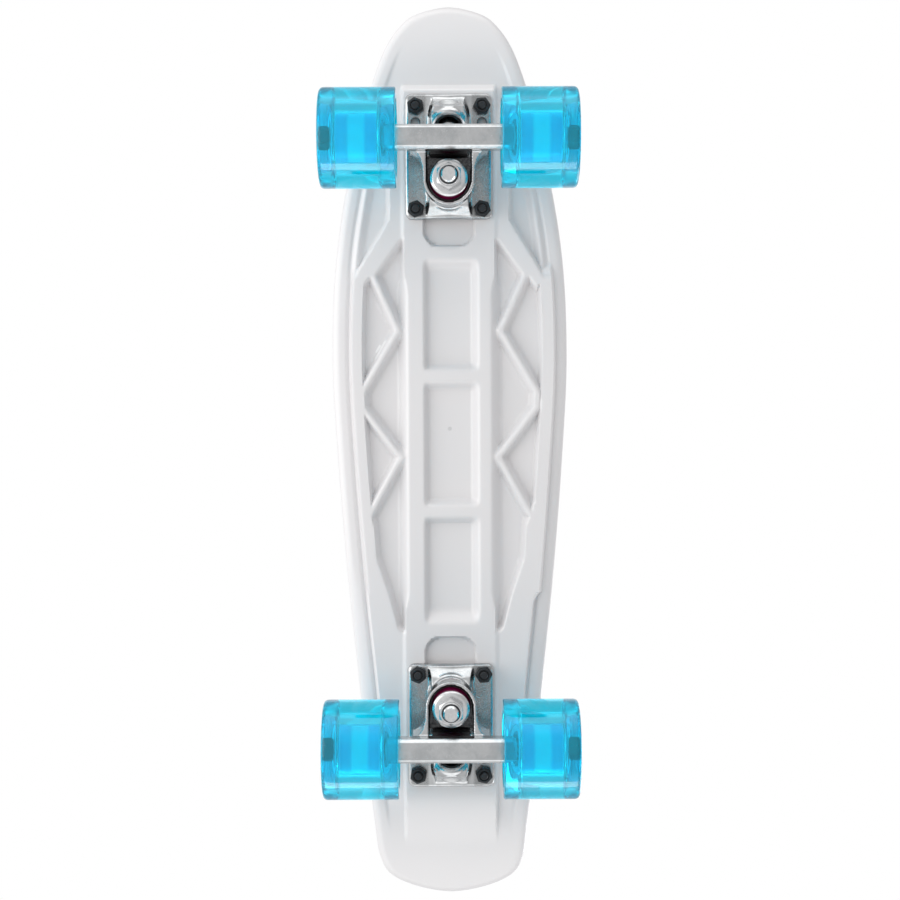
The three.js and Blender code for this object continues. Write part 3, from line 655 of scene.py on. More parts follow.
def join(bm: bmesh.types.BMesh, part: bmesh.types.BMesh) -> None:
    """Adds one shape to another and frees it."""
    carrier = bpy.data.meshes.new("carrier")
    part.to_mesh(carrier)
    part.free()
    bm.from_mesh(carrier)
    bpy.data.meshes.remove(carrier)


def pull(bm: bmesh.types.BMesh, faces: Sequence[bmesh.types.BMFace], move: Spot, keep: bool = False) -> None:
    """Extrudes faces and moves the new ones.

    Args:
        bm: The shape.
        faces: The faces.
        move: How far the new faces go.
        keep: Whether the old faces stay in any case.
    """
    made = bmesh.ops.extrude_face_region(bm, geom=faces, use_keep_orig=keep)["geom"]
    bmesh.ops.translate(bm, vec=move, verts=[v for v in made if isinstance(v, bmesh.types.BMVert)])
    bmesh.ops.recalc_face_normals(bm, faces=bm.faces)


def block(corners: Sequence[Spot], move: Spot) -> bmesh.types.BMesh:
    """Returns the block between a flat outline and the same outline moved."""
    bm = bmesh.new()
    pull(bm, [bm.faces.new([bm.verts.new(corner) for corner in corners])], move)
    return bm


def prism(corners: Sequence[Point], width: float) -> bmesh.types.BMesh:
    """Returns a block from a side view of (y, z) corners, widened along X about the middle plane."""
    return block([(-width / 2, y, z) for y, z in corners], (width, 0, 0))


def plate(corners: Sequence[Point], low: float, high: float) -> bmesh.types.BMesh:
    """Returns a block from a plan view of (x, y) corners, between two heights."""
    return block([(x, y, low) for x, y in corners], (0, 0, high - low))


def divide(bm: bmesh.types.BMesh, place: Spot, normal: Spot, clear: bool) -> None:
    """Adds edges where a plane meets a shape, or clears what lies beyond it and closes the shape.

    Args:
        bm: The shape.
        place: A point of the plane.
        normal: The plane's direction.
        clear: Whether the side that the normal points to is cleared.
    """
    bmesh.ops.bisect_plane(bm, geom=bm.verts[:] + bm.edges[:] + bm.faces[:], plane_co=place, plane_no=normal,
                           clear_outer=clear)
    if clear:
        bmesh.ops.holes_fill(bm, edges=bm.edges)


def wedge(corners: Sequence[Spot]) -> bmesh.types.BMesh:
    """Makes a side view into a block whose half width changes from corner to corner.

    Args:
        corners: Place along Y, height and half width at each of the side view's corners.

    Returns:
        The block.
    """
    bm = bmesh.new()
    edges: list[bmesh.types.BMEdge] = []
    for side in (-1, 1):
        edges += bm.faces.new([bm.verts.new((side * half, y, z)) for y, z, half in corners]).edges
    bmesh.ops.bridge_loops(bm, edges=edges)
    bmesh.ops.recalc_face_normals(bm, faces=bm.faces)
    return bm


def soften(bm: bmesh.types.BMesh, width: float, steps: int,
           wanted: Callable[[bmesh.types.BMEdge], bool]) -> None:
    """Rounds the edges of a shape that a test picks.

    Args:
        bm: The shape.
        width: How far the rounding reaches.
        steps: Its segments.
        wanted: Says whether an edge is rounded.
    """
    bmesh.ops.bevel(bm, geom=[edge for edge in bm.edges if wanted(edge)], offset=width, offset_type="OFFSET",
                    segments=steps, profile=0.5, affect="EDGES", material=-1, clamp_overlap=True)


def turned_block(radius: float, low: float, high: float, place: Matrix) -> bmesh.types.BMesh:
    """Returns a plain round block about Z between two heights, put in place."""
    bm = bmesh.new()
    spin(bm, [(0, low), (radius, low), (radius, high), (0, high)], 48, place)
    return bm


def rounded_profile(corners: Sequence[Spot], steps: int = 5) -> list[Point]:
    """Rounds the corners of a profile.

    Args:
        corners: Radius, height and rounding at each corner.
        steps: Points along each rounding.

    Returns:
        The profile's points.
    """
    points: list[Point] = []
    for index, (r, z, ease) in enumerate(corners):
        if ease <= 0:
            points.append((r, z))
            continue
        here = Vector((r, z))
        before = Vector(corners[index - 1][:2]) - here
        after = Vector(corners[(index + 1) % len(corners)][:2]) - here
        start, end = here + before.normalized() * ease, here + after.normalized() * ease
        for k in range(steps + 1):
            t = k / steps
            spot = start * (1 - t) ** 2 + here * (2 * t * (1 - t)) + end * t ** 2
            points.append((spot.x, spot.y))
    return points


def cast_piece(name: str, forms: Sequence[bmesh.types.BMesh], place: Matrix, voxel: float = 0.55,
               smoothing: int = 4) -> bpy.types.Object:
    """Fuses overlapping forms into one skin with the soft inner corners of a casting.

    Args:
        name: The piece's name.
        forms: The forms, freed afterwards.
        place: Where the piece goes.
        voxel: Fineness in millimetres.
        smoothing: How often the skin is relaxed.

    Returns:
        The piece.
    """
    bm = bmesh.new()
    for form in forms:
        join(bm, form)
    piece = solid_mesh(name, bm)
    remesh = piece.modifiers.new("fuse", "REMESH")
    remesh.mode = "VOXEL"
    remesh.voxel_size = voxel * MM
    relax = piece.modifiers.new("relax", "SMOOTH")
    relax.factor = 0.5
    relax.iterations = smoothing
    apply_modifiers(piece)
    piece.data.transform(Matrix.Scale(MM, 4) @ place @ Matrix.Scale(1 / MM, 4))
    return piece


def mark(piece: bpy.types.Object, name: str, place: Matrix, test: Callable[[Vector], float]) -> None:
    """Stores a share on each point of a piece.

    Args:
        piece: The piece.
        name: The attribute's name.
        place: Frame in which the test sees the points, in millimetres.
        test: Returns the share at a point.
    """
    back = place.inverted() @ Matrix.Scale(1 / MM, 4)
    shares = [test(back @ vert.co) for vert in piece.data.vertices]
    piece.data.attributes.new(name, "FLOAT", "POINT").data.foreach_set("value", shares)


def spun_piece(name: str, profile: Sequence[Point], sides: int, place: Matrix) -> bpy.types.Object:
    """Returns a turned piece, put in place."""
    bm = bmesh.new()
    spin(bm, profile, sides, place)
    return solid_mesh(name, bm)


def hex_nut(name: str, flats: float, height: float, bore: float, place: Matrix,
            collar: float) -> bpy.types.Object:
    """Makes a chamfered hexagon nut, with a round collar for its locking ring.

    Args:
        name: The piece's name.
        flats: Width across the flats.
        height: Whole height, the collar included.
        bore: Radius of its hole.
        place: Where it goes, with its seat at z = 0 and the collar at the far end.
        collar: Height of the collar.

    Returns:
        The nut.
    """
    body, corner, rim, slant = height - collar, flats / math.sqrt(3), flats * 0.485, flats * 0.055
    wide, inner, chamfer = flats * 0.44, bore + flats * 0.065, 0.35
    profile = [(bore + chamfer, 0, 0), (rim, 0, 0), (corner + 0.1, slant, 0), (corner + 0.1, body - slant, 0),
               (rim, body, 0), (wide, body, 0), (wide, height, 0.5), (inner, height, 0.3), (inner, body, 0),
               (bore, body, 0), (bore, chamfer, 0)]
    piece = spun_piece(name, rounded_profile(profile), 48, place)
    prism_form = bmesh.new()
    bmesh.ops.create_cone(prism_form, cap_ends=True, segments=6, radius1=corner, radius2=corner,
                          depth=height * 3)
    soften(prism_form, 0.02 * flats, 2, lambda e: abs(e.verts[0].co.z - e.verts[1].co.z) > 1.0)
    bmesh.ops.transform(prism_form, matrix=place, verts=prism_form.verts)
    cut(piece, solid_mesh("prism_form", prism_form), Meeting.COMMON)
    return piece


def threaded_profile(radius: float, low: float, high: float, pitch: float, depth: float) -> list[Point]:
    """Returns the outer line of a threaded stretch, from low to high."""
    points: list[Point] = []
    count = max(1, int((high - low) / pitch))
    for k in range(count):
        z = low + (high - low) * k / count
        points += [(radius - depth, z), (radius, z + pitch * 0.4), (radius, z + pitch * 0.55)]
    points.append((radius - depth, high))
    return points


@dataclass(frozen=True)
class Bend:
    """How a soft piece bends across a joint: it stays with one body and follows another."""

    still: str
    moving: str
    start: Vector
    end: Vector

    def hold(self, piece: bpy.types.Object) -> None:
        """Fixes the piece to both bodies, with the bend between the two places."""
        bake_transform(piece, self.still, self.moving, self.start * MM, self.end * MM)


def finish_piece(piece: bpy.types.Object, body: str | Bend, dress: Dress, nodes: Sequence[str] = (),
                 crease: float = 32.0) -> None:
    """Shades and dresses a piece and fixes it to its body.

    Args:
        piece: The piece.
        body: Name of the body that it rides on, or how it bends between two.
        dress: Its finish.
        nodes: Names of the solids that it stands for.
        crease: Angle in degrees from which an edge is drawn sharp.
    """
    piece.data.materials.clear()
    piece.data.materials.append(dress.material)
    piece.data.shade_smooth()
    piece.data.set_sharp_from_angle(angle=math.radians(crease))
    if isinstance(body, Bend):
        body.hold(piece)
    else:
        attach(piece, body)
    if nodes:
        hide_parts(*nodes)


# Deck


@dataclass(frozen=True)
class Stretch:
    """A stretch along the board, with a soft fade inwards from each of its ends."""

    tail: float = -math.inf
    tail_fade: float = 1.0
    nose: float = math.inf
    nose_fade: float = 1.0

    def share(self, y: np.ndarray) -> np.ndarray:
        """Returns 1 inside, 0 outside and a soft S in the fades."""
        return eased((self.nose - y) / self.nose_fade) * eased((y - self.tail) / self.tail_fade)


def raised(inside: np.ndarray, wall: float) -> np.ndarray:
    """Returns 1 on top of a form, 0 off it, and its drafted wall in between, most of it outside the line."""
    return eased((inside + wall * 0.72) / wall)


@dataclass
class Deck:
    """The moulded deck: pan, thick rim, middle beam with its channel, zigzag ribs and filled ends.

    Pairs named with both sides hold the right side's size first: the moulding isn't quite even.
    """

    length: float = 574.0
    width: float = 148.4
    bottom: float = 80.0
    depth: float = 12.0
    pan: float = 4.0
    rim: float = 5.5
    rim_width: float = 10.4
    rim_wall: float = 2.4
    concave: float = 2.5
    concave_power: float = 1.9
    edge_round: float = 1.9
    flat_half: float = 22.0
    nose_rise: float = 10.0
    tail_rise: float = 36.0
    tail_power: float = 1.55
    front_pad: float = 232.6
    rear_pad: float = -209.2
    end_thickening: float = 32.0
    rib_drop: float = 1.0
    rows: int = 480
    edge_search: float = 45.0
    outline: Sequence[Point] = (
        (-1.0, 0.0), (-0.979, 0.353), (-0.945, 0.55), (-0.9, 0.625), (-0.8, 0.67), (-0.5, 0.786),
        (-0.27, 0.876), (0.0, 0.958), (0.23, 1.0), (0.46, 0.957), (0.7, 0.79), (0.84, 0.636), (0.91, 0.531),
        (0.953, 0.423), (0.98, 0.307), (1.0, 0.0),
    )

    band_outer_sides: Point = (12.3, 8.2)
    band_inner_sides: Point = (19.6, 16.4)
    band_outer_wall: float = 2.2
    band_inner_wall: float = 2.6
    band_along: Stretch = Stretch(-62.0, 22.0, 126.0, 12.0)
    tail_shift_sides: Point = (-0.6, 3.2)
    tail_shift_limit: float = -84.0
    tail_shift_along: Stretch = Stretch(nose=-80.0, nose_fade=10.0)
    zigzag: Sequence[Point] = (
        (30.5, 141.5), (48.2, 117.3), (32.2, 82.0), (55.0, 43.5), (55.0, 34.0), (30.8, 2.5), (50.3, -33.0),
    )
    zigzag_half: float = 2.2
    zigzag_wall: float = 3.6
    zigzag_margin: float = 6.0
    front_fill: Sequence[Point] = (
        (24.0, 236.0), (37.7, 236.0), (37.8, 151.6), (52.7, 127.4), (60.5, 114.0), (55.0, 108.0),
        (48.2, 117.3), (30.5, 141.5), (24.0, 141.5),
    )
    front_fill_wall: float = 2.8
    front_fill_along: Stretch = Stretch(nose=228.0, nose_fade=26.0)
    rear_fill: Sequence[Point] = (
        (52.5, -26.0), (50.5, -33.0), (47.5, -41.0), (46.2, -61.0), (38.4, -84.0), (33.0, -105.0),
        (24.0, -113.0), (24.0, -226.0), (90.0, -226.0), (90.0, -26.0),
    )
    rear_fill_wall: float = 3.4
    rear_fill_along: Stretch = Stretch(-226.0, 40.0)
    ridge_share: float = 0.45
    ridge_inset: float = 13.3
    ridge_half: float = 4.6
    ridge_along: Stretch = Stretch(108.0, 16.0, 224.0, 30.0)

    beam_crest: float = 28.2
    beam_foot: float = 30.6
    beam_draft: float = 2.6
    beam_draft_along: Stretch = Stretch(-96.0, 14.0, 118.0, 14.0)
    beam_along: Stretch = Stretch(-250.0, 41.0, 236.5, 5.0)
    channel_depth: float = 5.6
    channel_half: float = 13.0
    channel_shoulder_sides: Point = (16.6, 19.2)
    channel_along: Stretch = Stretch(-103.7, 10.0, 127.6, 8.5)
    cross_ribs: Sequence[Point] = ((49.9, 56.6), (-34.9, -28.7))
    cross_rib_wall: float = 4.8
    scallop_depth: float = 4.6
    scallop_start: float = 30.0
    scallop_end: float = 54.0
    scallop_half: float = 15.9
    scallop_limit: float = 17.5
    scallop_flat: float = 5.7
    scallop_round: float = 10.0
    scallop_wall: float = 1.3
    scallop_fall: float = 1.4
    scallop_fall_from: float = 38.0
    curl_width: float = 5.4
    curl_height: float = 4.4
    curl_widening: float = 3.4
    curl_widening_along: Stretch = Stretch(-215.0, 30.0, -60.0, 40.0)

    beam_share: float = 0.58
    beam_stations: Sequence[float] = (
        0, 1.3, 2.6, 3.9, 5.2, 6.5, 7.8, 9.1, 10.4, 11.6, 12.7, 13.5, 14.3, 15.1, 15.9, 16.7, 17.5, 18.3,
        19.2, 20.4, 22.2, 24.2, 25.4, 26.3, 27.2, 28.1, 29.0, 29.9, 30.8, 31.8, 32.8, 33.8,
    )
    pocket_stations: int = 15
    rim_share: float = 0.37
    rim_stations: Sequence[float] = (
        21.4, 20.5, 19.7, 18.9, 18.1, 17.3, 16.5, 15.6, 14.5, 13.5, 12.7, 11.9, 11.1, 10.3, 9.5, 8.8, 8.1,
        7.4, 6.6, 5.6, 4.7, 3.8, 3.0, 2.2, 1.5, 0.9, 0.45, 0.15, 0.0,
    )
    top_share: float = 0.5
    top_stations: int = 12
    top_edge_stations: Sequence[float] = (12.4, 11.6, 11.0, 10.4, 9.0, 6.0, 3.0, 1.9, 1.2, 0.7, 0.3, 0.1, 0.0)

    bolt_bore: float = 2.7
    bolt_head: float = 5.1
    bolt_sunk: float = 1.2
    waffle_pitch: float = 6.4
    waffle_border: float = 10.5
    waffle_margin: float = 0.62
    waffle_depth: float = 0.8
    waffle_wall: float = 0.8
    waffle_root: float = 0.4
    waffle_joint: float = 0.6
    waffle_slope: float = 0.5
    waffle_proud: float = 0.15
    pad_radius: float = 9.2
    pad_clearance: float = 0.4
    pad_proud: float = 0.05

    @property
    def top(self) -> float:
        """Height of the deck's upper face in the middle."""
        return self.bottom + self.depth

    def outline_points(self) -> np.ndarray:
        """Returns the right half of the outline as a smooth line of even steps, tail to nose."""
        half, wide = self.length / 2, self.width / 2
        knots = [(across * wide, along * half) for along, across in self.outline]
        tail = [(-x, y) for x, y in reversed(knots[1:3])]
        nose = [(-x, y) for x, y in reversed(knots[-3:-1])]
        line = np.array(tail + knots + nose)
        step = np.sqrt(np.hypot(*np.diff(line, axis=0).T))
        when = np.concatenate([[0.0], np.cumsum(step)])
        fine = []
        for k in range(2, len(line) - 3):
            p, t = line[k - 1:k + 3], when[k - 1:k + 3]
            s = np.linspace(t[1], t[2], 60, endpoint=False)[:, None]
            a, b, c = (passing(s, t[i], t[i + 1], p[i], p[i + 1]) for i in range(3))
            before, after = passing(s, t[0], t[2], a, b), passing(s, t[1], t[3], b, c)
            fine.append(passing(s, t[1], t[2], before, after))
        curve = np.concatenate(fine + [np.array([knots[-1]])])
        curve[:, 0] = np.maximum(curve[:, 0], 0.0)
        curve[0, 0] = curve[-1, 0] = 0.0
        along = np.concatenate([[0.0], np.cumsum(np.hypot(*np.diff(curve, axis=0).T))])
        even = np.linspace(0.0, along[-1], self.rows + 1)
        return np.stack([np.interp(even, along, curve[:, 0]), np.interp(even, along, curve[:, 1])], axis=1)

    def edge_distance(self, x: np.ndarray, y: np.ndarray, edge: np.ndarray) -> np.ndarray:
        """Measures how far points lie inside the outline.

        Args:
            x: Places across.
            y: Places along.
            edge: Points of the outline's right half.

        Returns:
            The distances.
        """
        nearest = np.full(x.shape, 1e9)
        side = np.abs(x)
        for (ax, ay), (bx, by) in zip(edge[:-1], edge[1:]):
            close = np.abs(y - (ay + by) / 2) < self.edge_search
            if close.any():
                away = line_distance(side[close], y[close], (ax, ay), (bx, by))
                nearest[close] = np.minimum(nearest[close], away)
        return nearest

    def rise(self, y: np.ndarray) -> np.ndarray:
        """Returns how far the nose or the tail kicks up at places along the board."""
        nose = np.clip((y - self.front_pad) / (self.length / 2 - self.front_pad), 0, None)
        tail = np.clip((self.rear_pad - y) / (self.length / 2 + self.rear_pad), 0, None)
        return self.nose_rise * nose ** 2 + self.tail_rise * tail ** self.tail_power

    def upper(self, x: np.ndarray, y: np.ndarray, edge: np.ndarray, half: np.ndarray) -> np.ndarray:
        """Returns the height of the upper face, with the concave and the rounded edge."""
        flat = np.minimum(self.flat_half, half / 3)
        share = np.clip((np.abs(x) - flat) / np.maximum(half - flat, 1.0), 0, 1)
        concave = self.concave * np.minimum(1.0, 2 * half / self.width) * share ** self.concave_power
        ease = self.edge_round
        corner = ease - np.sqrt(np.maximum(ease ** 2 - np.clip(ease - edge, 0, ease) ** 2, 0))
        return self.top + self.rise(y) + concave - corner

    def relief(self, side: np.ndarray, y: np.ndarray, edge: np.ndarray, right: np.ndarray) -> np.ndarray:
        """Works out the share to which the forms beside the beam rise from the pan.

        Args:
            side: Distances from the middle line.
            y: Places along.
            edge: Distances from the outline.
            right: Where the right side is.

        Returns:
            The shares: side bands, zigzag ribs, filled ends and the low ridge beside the front truck.
        """
        shift = np.where(right, *self.tail_shift_sides) * self.tail_shift_along.share(y)
        outer = np.where(right, *self.band_outer_sides) + np.where(y < self.tail_shift_limit, shift, 0.0)
        inner = np.where(right, *self.band_inner_sides)
        wall = raised(edge - outer, self.band_outer_wall)
        band = np.minimum(wall, raised(inner - edge, self.band_inner_wall)) * self.band_along.share(y)
        rib = np.zeros(side.shape)
        for start, end in zip(self.zigzag[:-1], self.zigzag[1:]):
            near = self.zigzag_half - line_distance(side, y, start, end)
            rib = np.maximum(rib, raised(near, self.zigzag_wall))
        nose = raised(inside_distance(side, y, self.front_fill), self.front_fill_wall)
        tail = np.minimum(raised(inside_distance(side, y, self.rear_fill), self.rear_fill_wall), wall)
        ridge = self.ridge_share * eased(1 - np.abs(edge - self.ridge_inset) / self.ridge_half)
        return np.maximum.reduce([
            band, rib * (edge > self.zigzag_margin), nose * self.front_fill_along.share(y),
            tail * self.rear_fill_along.share(y), ridge * self.ridge_along.share(y)])

    def channel(self, side: np.ndarray, y: np.ndarray, right: np.ndarray) -> np.ndarray:
        """Returns how deep the channel lies in the beam, between its cross ribs."""
        shoulder = np.where(right, *self.channel_shoulder_sides)
        share = eased((shoulder - side) / (shoulder - self.channel_half)) * self.channel_along.share(y)
        for low, high in self.cross_ribs:
            share = share * eased((np.abs(y - (low + high) / 2) - (high - low) / 2) / self.cross_rib_wall)
        return self.channel_depth * share

    def scallops(self, side: np.ndarray, y: np.ndarray) -> np.ndarray:
        """Returns how deep the round ended hollows lie that reach from each truck towards the middle."""
        depth = np.zeros(side.shape)
        for bolts, inward in ((FRONT_BOLTS, -1.0), (REAR_BOLTS, 1.0)):
            past = inward * (y - bolts)
            tip = np.clip(past - self.scallop_end + self.scallop_round, 0, None)
            out = np.hypot(np.clip(side - self.scallop_flat, 0, None), tip)
            share = eased((self.scallop_half - self.scallop_flat - out) / self.scallop_wall + 0.5)
            share = share * (past > self.scallop_start) * (side < self.scallop_limit)
            fall = (past - self.scallop_fall_from) / (self.scallop_end - self.scallop_fall_from)
            depth = depth + share * (self.scallop_depth - self.scallop_fall * np.clip(fall, 0, 1))
        return depth

    def under(self, x: np.ndarray, y: np.ndarray, edge: np.ndarray, half: np.ndarray) -> np.ndarray:
        """Works out the height of the ribbed lower face.

        Args:
            x: Places across.
            y: Places along.
            edge: Distances from the outline.
            half: Half of the board's width there.

        Returns:
            The heights.
        """
        side, right = np.abs(x), x > 0
        full = eased(np.maximum(y - self.front_pad, self.rear_pad - y) / self.end_thickening)
        floor = self.top - self.pan - (self.rim - self.pan) * full
        level = floor + (self.top - self.rim - floor) * eased((self.rim_width - edge) / self.rim_wall)
        level = level + (self.bottom + self.rib_drop - level) * self.relief(side, y, edge, right)
        draft = self.beam_draft * self.beam_draft_along.share(y)
        crest, foot = self.beam_crest - draft, self.beam_foot + draft
        beam = eased((foot - side) / (foot - crest)) * self.beam_along.share(y)
        level = level + (self.bottom - level) * beam
        level = level + self.channel(side, y, right) + self.scallops(side, y)
        wide = self.curl_width + self.curl_widening * self.curl_widening_along.share(y)
        curl = np.clip(1 - edge / wide, 0, 1)
        return level + self.rise(y) + self.curl_height * (1 - np.sqrt(np.maximum(1 - curl ** 2, 0)))

    def stations(self, half: np.ndarray) -> tuple[np.ndarray, np.ndarray]:
        """Lays out the places across each row.

        Args:
            half: Half of the board's width at each row.

        Returns:
            Places under the board and places on top, from the middle to the edge, one line per row.
        """
        beam, rim, top_edge = self.beam_stations, self.rim_stations, self.top_edge_stations
        reach = np.minimum(beam[-1], self.beam_share * half)
        margin = np.minimum(rim[0], self.rim_share * half)
        border = np.minimum(top_edge[0], self.top_share * half)
        under = [station / beam[-1] * reach for station in beam]
        pocket = np.linspace(0.0, 1.0, self.pocket_stations + 2)[1:-1]
        under += [reach + (half - margin - reach) * share for share in pocket]
        under += [half - station / rim[0] * margin for station in rim]
        top = [share * (half - border) for share in np.linspace(0, 1, self.top_stations + 1)]
        top += [half - station / top_edge[0] * border for station in top_edge[1:]]
        return np.stack(under, axis=1), np.stack(top, axis=1)

    def shape(self) -> bmesh.types.BMesh:
        """Returns the closed skin of the deck, without its bolt holes."""
        edge = self.outline_points()
        half, along = edge[:, 0], edge[:, 1]
        under_x, top_x = self.stations(half)
        x = np.concatenate([top_x, under_x[:, ::-1], -under_x[:, 1:], -top_x[:, ::-1]], axis=1)
        above = np.repeat([True, False, True], [top_x.shape[1], 2 * under_x.shape[1] - 1, top_x.shape[1]])
        y, wide = (np.repeat(line[:, None], x.shape[1], axis=1) for line in (along, half))
        gap = self.edge_distance(x, y, edge)
        sunk = self.waffle_depth * eased((gap - self.waffle_border) / self.waffle_wall)
        z = np.where(above, self.upper(x, y, gap, wide) - sunk, self.under(x, y, gap, wide))
        bm = bmesh.new()
        bmesh.ops.create_grid(bm, x_segments=x.shape[1] - 1, y_segments=x.shape[0] - 1, size=0.5)
        order = sorted(bm.verts, key=lambda v: (round(v.co.y, 5), round(v.co.x, 5)))
        for vert, px, py, pz in zip(order, x.ravel(), y.ravel(), z.ravel()):
            vert.co = (px, py, pz)
        bmesh.ops.remove_doubles(bm, verts=bm.verts, dist=0.004)
        bmesh.ops.dissolve_degenerate(bm, edges=bm.edges, dist=0.003)
        face_outwards(bm)
        return bm

    def bolt_places(self) -> list[Point]:
        """Returns where the eight bolts go through the deck."""
        across, along = BOLT_SPREAD
        return [(sx * across, middle + sy * along) for middle in (FRONT_BOLTS, REAR_BOLTS)
                for sx in (-1, 1) for sy in (-1, 1)]

    def waffle(self) -> None:
        """Builds the non-slip waffle moulded into the upper side, with a round pad at each bolt."""
        edge = self.outline_points()
        cell, root = self.waffle_pitch, self.waffle_depth + self.waffle_root
        count = int(self.length / cell) + 2
        bm = bmesh.new()
        bmesh.ops.create_grid(bm, x_segments=count, y_segments=count, size=count * cell / 2,
                              matrix=Matrix.Rotation(math.pi / 4, 4, "Z"))
        x, y = np.array([face.calc_center_median().xy for face in bm.faces]).T
        inside = (np.abs(x) < np.interp(y, edge[:, 1], edge[:, 0])) & (np.abs(y) < self.length / 2)
        inside &= self.edge_distance(x, y, edge) > self.waffle_border + self.waffle_margin * cell
        for px, py in self.bolt_places():
            inside &= np.hypot(x - px, y - py) > self.pad_radius + self.pad_clearance
        outside = [face for face, wanted in zip(bm.faces[:], inside) if not wanted]
        bmesh.ops.delete(bm, geom=outside, context="FACES")
        upper = bm.faces[:]
        pull(bm, upper, (0, 0, -root), True)
        for thickness, depth in ((self.waffle_joint, 0.0),
                                 (self.waffle_slope, self.waffle_proud - self.waffle_depth)):
            bmesh.ops.inset_individual(bm, faces=upper, thickness=thickness, depth=depth,
                                       use_even_offset=True)
        wide, narrow, proud = self.pad_radius, self.bolt_head, self.pad_proud
        ring = rounded_profile([(narrow, -root, 0), (wide, -root, 0), (wide, proud, 0.4),
                                (narrow, proud, 0.25)])
        for px, py in self.bolt_places():
            spin(bm, ring, 40, Matrix.Translation((px, py, 0)))
        x, y, lift = np.array([vert.co for vert in bm.verts]).T
        half = np.interp(y, edge[:, 1], edge[:, 0])
        for vert, z in zip(bm.verts, self.upper(x, y, self.edge_distance(x, y, edge), half) + lift):
            vert.co.z = z
        finish_piece(solid_mesh("deck_waffle_moulding", bm), "deck", Dress.DECK, crease=30.0)

    def bolt_cutter(self) -> bpy.types.Object:
        """Returns one shape for the eight countersunk bolt holes."""
        bm = bmesh.new()
        low, high, sunk = self.bottom - 4, self.top + 4, self.top - self.bolt_sunk
        bore, head = self.bolt_bore, self.bolt_head
        profile = [(0, low), (bore, low), (bore, sunk - head + bore), (head, sunk), (head, high), (0, high)]
        for px, py in self.bolt_places():
            spin(bm, profile, 32, Matrix.Translation((px, py, 0)))
        return solid_mesh("bolt_cutter", bm)

    def build(self) -> None:
        """Builds and dresses the whole deck."""
        piece = solid_mesh("deck_moulding", self.shape())
        cut(piece, self.bolt_cutter())
        self.waffle()
        finish_piece(piece, "deck", Dress.DECK, ("deck",), crease=40.0)


# Trucks


